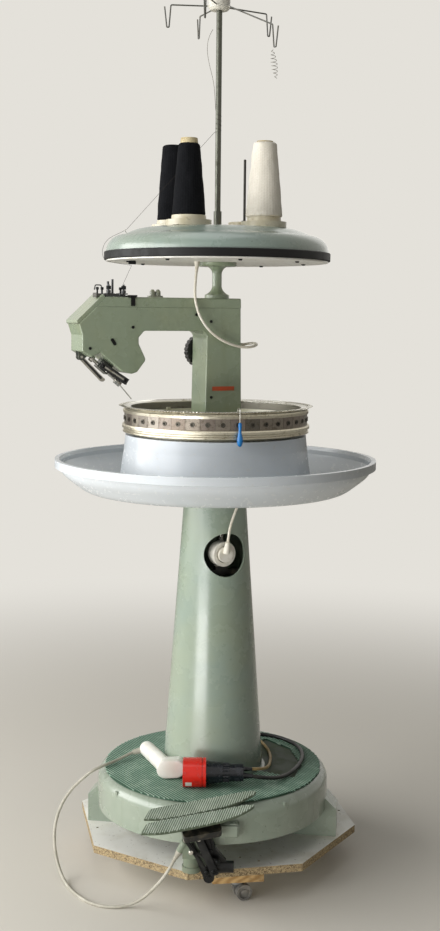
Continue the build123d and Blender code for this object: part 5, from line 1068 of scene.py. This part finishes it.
# Thread wound down the mast, then tight past the eyelet and round the yarn disc
WRAP_TOP, WRAP_FALL, WRAP_R = 1742, 36, 7.1
WRAP_STEPS = 28
wraps = []
for step in range(WRAP_STEPS + 1):
    wraps.append(polar(WRAP_R, 250 + 45 * step, WRAP_TOP - WRAP_FALL * step / WRAP_STEPS))
over_disc = tight([(-7, -60, 1697), (-203.5, -61.2, 1481)])
round_edge = [(-247, -64, 1462), (-258, -64, 1430), (-247, -63, 1412)]
to_tension = tight([(-190, -60, 1405), (-214, -64, 1352)])
wire("mast_thread", wraps + over_disc + round_edge + to_tension, 0.8, THREAD_DARK, "yarn")

# Threads that hang from the guide wires: one in loose turns, one slack
LOOSE_TOP = Vector((116, -67, 1872))
LOOSE_FALL = Vector((9, -3, -62))
LOOSE_STEPS = 40
loose = []
for step in range(LOOSE_STEPS + 1):
    fall = step / LOOSE_STEPS
    swing = polar(6.5 * math.sin(math.pi * fall) + 2, 72 * step)
    loose.append(LOOSE_TOP + LOOSE_FALL * fall + swing)
wire("loose_thread", loose, 1.1, THREAD_GREY, "yarn")
slack = [(-14, -8, 1926), (-24, -16, 1908), (-27, -18, 1880), (-22, -16, 1850), (-11, -10, 1812),
         (-8.5, -4, 1780), (-6.5, -3, 1752)]
wire("slack_thread", slack, 1.0, THREAD_GREY, "yarn")

# Ears that hold the pedals on their pin, and the lug of the base under them
for side, ear in (("left", 7.5), ("right", -7.5)):
    lug = slab(f"pedal_ear_{side}", on_pedal(PEDAL_PIN_X, ear, -PEDAL_THICK - 8), PEDAL_X, PEDAL_Y,
               (16, 8, 16.4), 2.0, finishes["dark_metal"], f"{side}_pedal")
    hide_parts(f"pedal_{side}")
slab("base_lug", (37, -272, 188), (1, 0, 0), (0, 1, 0), (46, 36, 32), 4.0, ENAMEL_BASE)

# Arms and bolts of the switch linkage, on the front of its plates
LINK_PROUD = 3
FORWARD = Vector((0, -1, 0))
link_front = box_mm("pedal_linkage")[0].y - LINK_PROUD
bolt = [(0, 5.2), (6.5, 5.2), (7.5, 4.2), (7.5, 2.4), (9.5, 2.2)]
for count, (top_x, top_z, low_x, low_z, wide) in enumerate(
        ((-56, 178, -9, 104, 9), (-27, 180, 6, 108, 12), (-44, 150, 14, 128, 7))):
    top = Vector((top_x, link_front, top_z))
    low = Vector((low_x, link_front - 5 * (count % 2), low_z))
    arm = (low - top).normalized()
    slab(f"link_arm_{count}", (top + low) / 2, arm, arm.cross(FORWARD),
         ((low - top).length + wide, wide, 6), 2.2, LINK_BLACK)
    for end, spot, steel in (("top", top, BRIGHT_PIN), ("low", low, BLACK_OXIDE)):
        turned(f"link_bolt_{count}_{end}", bolt, spot, spot + FORWARD, steel, sides=20)

# Thread tension on the head: pins on a base plate
TENSION_BACK = -14
pin = [(0, 3.2), (6, 3.2), (6.5, 1.9), (15, 1.9), (15.5, 3.5), (20, 3.5), (21, 2.6)]
for count, u in enumerate((289, 278, 236)):
    turned(f"tension_pin_{count}", pin, on_head(u, HEAD_TOP, TENSION_BACK),
           on_head(u, HEAD_TOP + 1, TENSION_BACK), BLACK_OXIDE, sides=24)
slab("tension_base", on_head(268, HEAD_TOP + 3.5, TENSION_BACK), polar(1, HEAD_AZIMUTH), (0, 0, 1),
     (54, 7, 24), 1.5, finishes["dark_metal"])

# Needle linkage: a dark strip on the swinging bar, the painted shade of the slot in it, and the guide rail
# beside the needle
BAR_DIR = (on_head(275, 1153) - on_head(324, 1202.5)).normalized()
TO_FRONT = polar(1, HEAD_AZIMUTH + 90)
BAR_SIDE = BAR_DIR.cross(TO_FRONT)
bar_middle = on_head(299.5, 1177.75, -5.5)
slab("rocker_slot", bar_middle, BAR_DIR, BAR_SIDE, (62, 4.2, 1.2), 0.4, finishes["dark_metal"],
     "rocker")
rail_high, rail_low = on_head(284, 1186, -24), on_head(225, 1148, -24)
RAIL_DIR = (rail_low - rail_high).normalized()
RAIL_SIDE = RAIL_DIR.cross(TO_FRONT)
RAIL_THICK = 7
rail_middle = (rail_high + rail_low) / 2
rail_long = (rail_low - rail_high).length
slab("guide_rail", rail_middle, RAIL_DIR, RAIL_SIDE, (rail_long, 11, RAIL_THICK), 1.6,
     finishes["dark_metal"])
slab("guide_rail_face", rail_middle + TO_FRONT * RAIL_THICK / 2, RAIL_DIR, RAIL_SIDE,
     (0.78 * rail_long, 3.6, 0.8), 0.3, BRIGHT_PIN)
for count, share in enumerate((0.08, 0.92)):
    foot = rail_high.lerp(rail_low, share)
    turned(f"guide_rail_screw_{count}", [(0, 3.6), (5.5, 3.6), (6.5, 2.6)], foot,
           foot + TO_FRONT, BLACK_OXIDE, sides=20)

# Elbow plug: a round handle and an oval head with a seam round its flat front
HANDLE_START, HANDLE_END = Vector((-161, 36, 258.9)), Vector((-114, -76, 259.2))
HANDLE_R = 18.8
handle_long = (HANDLE_END - HANDLE_START).length
seam = handle_long * 0.6
handle = turned("elbow_plug_handle", [
    (-1, 9.0), (0, HANDLE_R - 4), (2.5, HANDLE_R - 1.4), (7, HANDLE_R - 0.8), (seam, HANDLE_R - 0.4),
    (seam + 0.6, HANDLE_R - 1.6), (seam + 2, HANDLE_R - 1.6), (seam + 2.6, HANDLE_R),
    (handle_long - 6, HANDLE_R), (handle_long + 6, HANDLE_R - 1), (handle_long + 10, HANDLE_R - 6)],
    HANDLE_START, HANDLE_END, ELBOW_CREAM)
inlet = turned("elbow_plug_inlet", [(0, 5.6), (3, 6.4), (12, 7.0), (34, 7.2)], (-192, 22, 252),
               (-163, 30, 257), finishes["cord_grey"], sides=28)


def oval_block(name, centre, long_way, depth_way, length, height, depth, edge, material):
    """A block with a stadium outline, its front and back edges rounded in steps, and a
    groove round it for its seam."""
    centre, long_way = Vector(centre), Vector(long_way).normalized()
    depth_way = Vector(depth_way).normalized()
    rise = depth_way.cross(long_way)
    seam, groove = depth * 0.3, 0.9
    layers = [(0.0, edge), (0.3 * edge, 0.35 * edge), (edge, 0.0), (seam, 0.0),
              (seam + 0.5, groove), (seam + 1.5, groove), (seam + 2.0, 0.0),
              (depth - edge, 0.0), (depth - 0.3 * edge, 0.35 * edge), (depth, edge)]
    sides, points = 24, []
    for along, inset in layers:
        radius = height / 2 - inset
        for step in range(sides):
            angle = math.tau * (step + 0.5) / sides
            flat = (length - height) / 2 * (1 if math.cos(angle) > 0 else -1)
            points.append(centre + depth_way * (along - depth / 2)
                          + long_way * (flat + radius * math.cos(angle)) + rise * radius * math.sin(angle))
    return mesh_piece(name, points, ring_faces(len(layers), sides), material, "machine")


head_block = oval_block("elbow_plug_head", (-93, -102, 261.6), (0.97, 0.1, 0.0), (0.12, 0.97, -0.06),
                        length=66, height=43, depth=40, edge=3.5, material=ELBOW_CREAM)
for piece in (handle, head_block, inlet):
    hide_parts("pedal_cord_plug")

# Dull sheet on the wedge of the base's deck where the mat is cut away; its dark colour is a painted dark
# reflection
REFLECTION_IN_R, REFLECTION_OUT_R = 124, 212.5
REFLECTION_FROM, REFLECTION_TO = -27, 51
REFLECTION_RISE, REFLECTION_THICK = 0.25, 0.2
edge_of_reflection_sheet = [(REFLECTION_IN_R, azimuth) for azimuth in range(REFLECTION_FROM, REFLECTION_TO + 1, 3)]
edge_of_reflection_sheet += [(REFLECTION_OUT_R, azimuth) for azimuth in (REFLECTION_TO, 28, -4, REFLECTION_FROM)]
reflection_sheet = []
for up in (REFLECTION_RISE, REFLECTION_RISE - REFLECTION_THICK):
    reflection_sheet += [polar(radius, azimuth, BASE_TOP + up) for radius, azimuth in edge_of_reflection_sheet]
mesh_piece("deck_coat", reflection_sheet, ring_faces(2, len(edge_of_reflection_sheet)), DECK_DARK_REFLECTION, "machine", smooth=False)

# Dome over the yarn disc, turned in one sweep; its shoulder starts 1 mm below the top
# edge of the rubber band
SHOULDER_LOW = 17
SHOULDER_R = 38
CROWN_SPAN = 52
shoulder_top = SHOULDER_LOW + SHOULDER_R
crown_rise = disc_high.z - disc_low.z - 0.2 - shoulder_top
profile = [(0.3, DISC_R), (SHOULDER_LOW, DISC_R)]
for step in range(1, 13):
    bend = math.pi / 2 * step / 12
    radius = DISC_R - SHOULDER_R + SHOULDER_R * math.cos(bend)
    profile.append((SHOULDER_LOW + SHOULDER_R * math.sin(bend), radius))
for step in range(1, 9):
    share = step / 8
    height = shoulder_top + crown_rise * math.sin(share * math.pi / 2)
    profile.append((height, DISC_R - SHOULDER_R - CROWN_SPAN * share))
dome = turned("yarn_disc_dome", profile, (0, 0, disc_low.z), (0, 0, disc_low.z + 1), ENAMEL_DISC,
              sides=180)
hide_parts("yarn_disc")

# Stage: a pale floor that runs into the backdrop colour, and soft lamps
BACKDROP = "e4e1da"
world = bpy.data.worlds.new("studio")
scene.world = world
world.use_nodes = True
sky = world.node_tree
sky.nodes.clear()
rays = add(sky, "ShaderNodeLightPath")
seen = rays.outputs["Is Camera Ray"]
for ray in ("Is Transmission Ray", "Is Glossy Ray"):
    seen = add(sky, "ShaderNodeMath", {0: seen, 1: rays.outputs[ray]}, operation="MAXIMUM").outputs[0]
soft_room = add(sky, "ShaderNodeBackground", {"Color": srgb("f2f1ee"), "Strength": 0.15})
backdrop = add(sky, "ShaderNodeBackground", {"Color": srgb(BACKDROP), "Strength": 1.0})
joined = add(sky, "ShaderNodeMixShader", {
    0: seen, 1: soft_room.outputs[0], 2: backdrop.outputs[0]})
add(sky, "ShaderNodeOutputWorld", {"Surface": joined.outputs[0]})

# Floor, its reach and the stretch over which it fades to the backdrop in metres
FLOOR_REACH = 40.0
FADE_START, FADE_END = 0.9, 3.3
corners = [(x * FLOOR_REACH, y * FLOOR_REACH, 0) for x, y in ((-1, -1), (1, -1), (1, 1), (-1, 1))]
floor_data = bpy.data.meshes.new("floor")
floor_data.from_pydata(corners, [], [(0, 1, 2, 3)])
floor = bpy.data.objects.new("floor", floor_data)
scene.collection.objects.link(floor)
floor_material, floor_tree, floor_place = surface(
    "pale_floor", {"Roughness": 0.7, "Base Color": srgb("d3cec3")})
distance = add(floor_tree, "ShaderNodeVectorMath", {0: floor_place}, operation="LENGTH")
far_off = add(floor_tree, "ShaderNodeMapRange", {
    "Value": distance.outputs["Value"], "From Min": FADE_START, "From Max": FADE_END},
    interpolation_type="SMOOTHSTEP").outputs["Result"]
camera_ray = add(floor_tree, "ShaderNodeLightPath").outputs["Is Camera Ray"]
glow = add(floor_tree, "ShaderNodeEmission", {"Color": srgb(BACKDROP), "Strength": 1.0})
share = add(floor_tree, "ShaderNodeMath", {0: far_off, 1: camera_ray}, operation="MULTIPLY")
faded = add(floor_tree, "ShaderNodeMixShader", {
    0: share.outputs[0], 1: floor_tree.nodes[SHADER].outputs["BSDF"], 2: glow.outputs[0]})
floor_tree.links.new(faded.outputs[0], floor_tree.nodes["Material Output"].inputs["Surface"])
floor_data.materials.append(floor_material)

# Lamps, in metres and watts
LAMPS = {
    "window": {"spot": (-3.1, -0.75, 1.75), "aim": (0, 0, 0.85), "size": (4.4, 2.3), "watts": 158},
    "front": {"spot": (-1.6, -3.1, 2.3), "aim": (0, 0, 0.9), "size": (2.2, 2.2), "watts": 9},
    "low": {"spot": (-1.4, -2.2, 0.25), "aim": (0, 0, 1.35), "size": (1.4, 0.5), "watts": 24},
    "top": {"spot": (-0.3, -0.4, 4.2), "aim": (0, 0, 0.6), "size": (2.4, 2.4), "watts": 27},
    "back": {"spot": (1.2, 3.0, 2.6), "aim": (0, 0, 1.0), "size": (2.0, 2.4), "watts": 5},
}
for name, lamp in LAMPS.items():
    light = bpy.data.lights.new(name + "_lamp", "AREA")
    light.shape = "RECTANGLE"
    light.size, light.size_y = lamp["size"]
    light.energy = lamp["watts"]
    holder = bpy.data.objects.new(name + "_lamp", light)
    scene.collection.objects.link(holder)
    holder.location = lamp["spot"]
    holder.rotation_euler = (Vector(lamp["aim"]) - Vector(lamp["spot"])).to_track_quat("-Z", "Y").to_euler()

scene.view_settings.view_transform = "Standard"
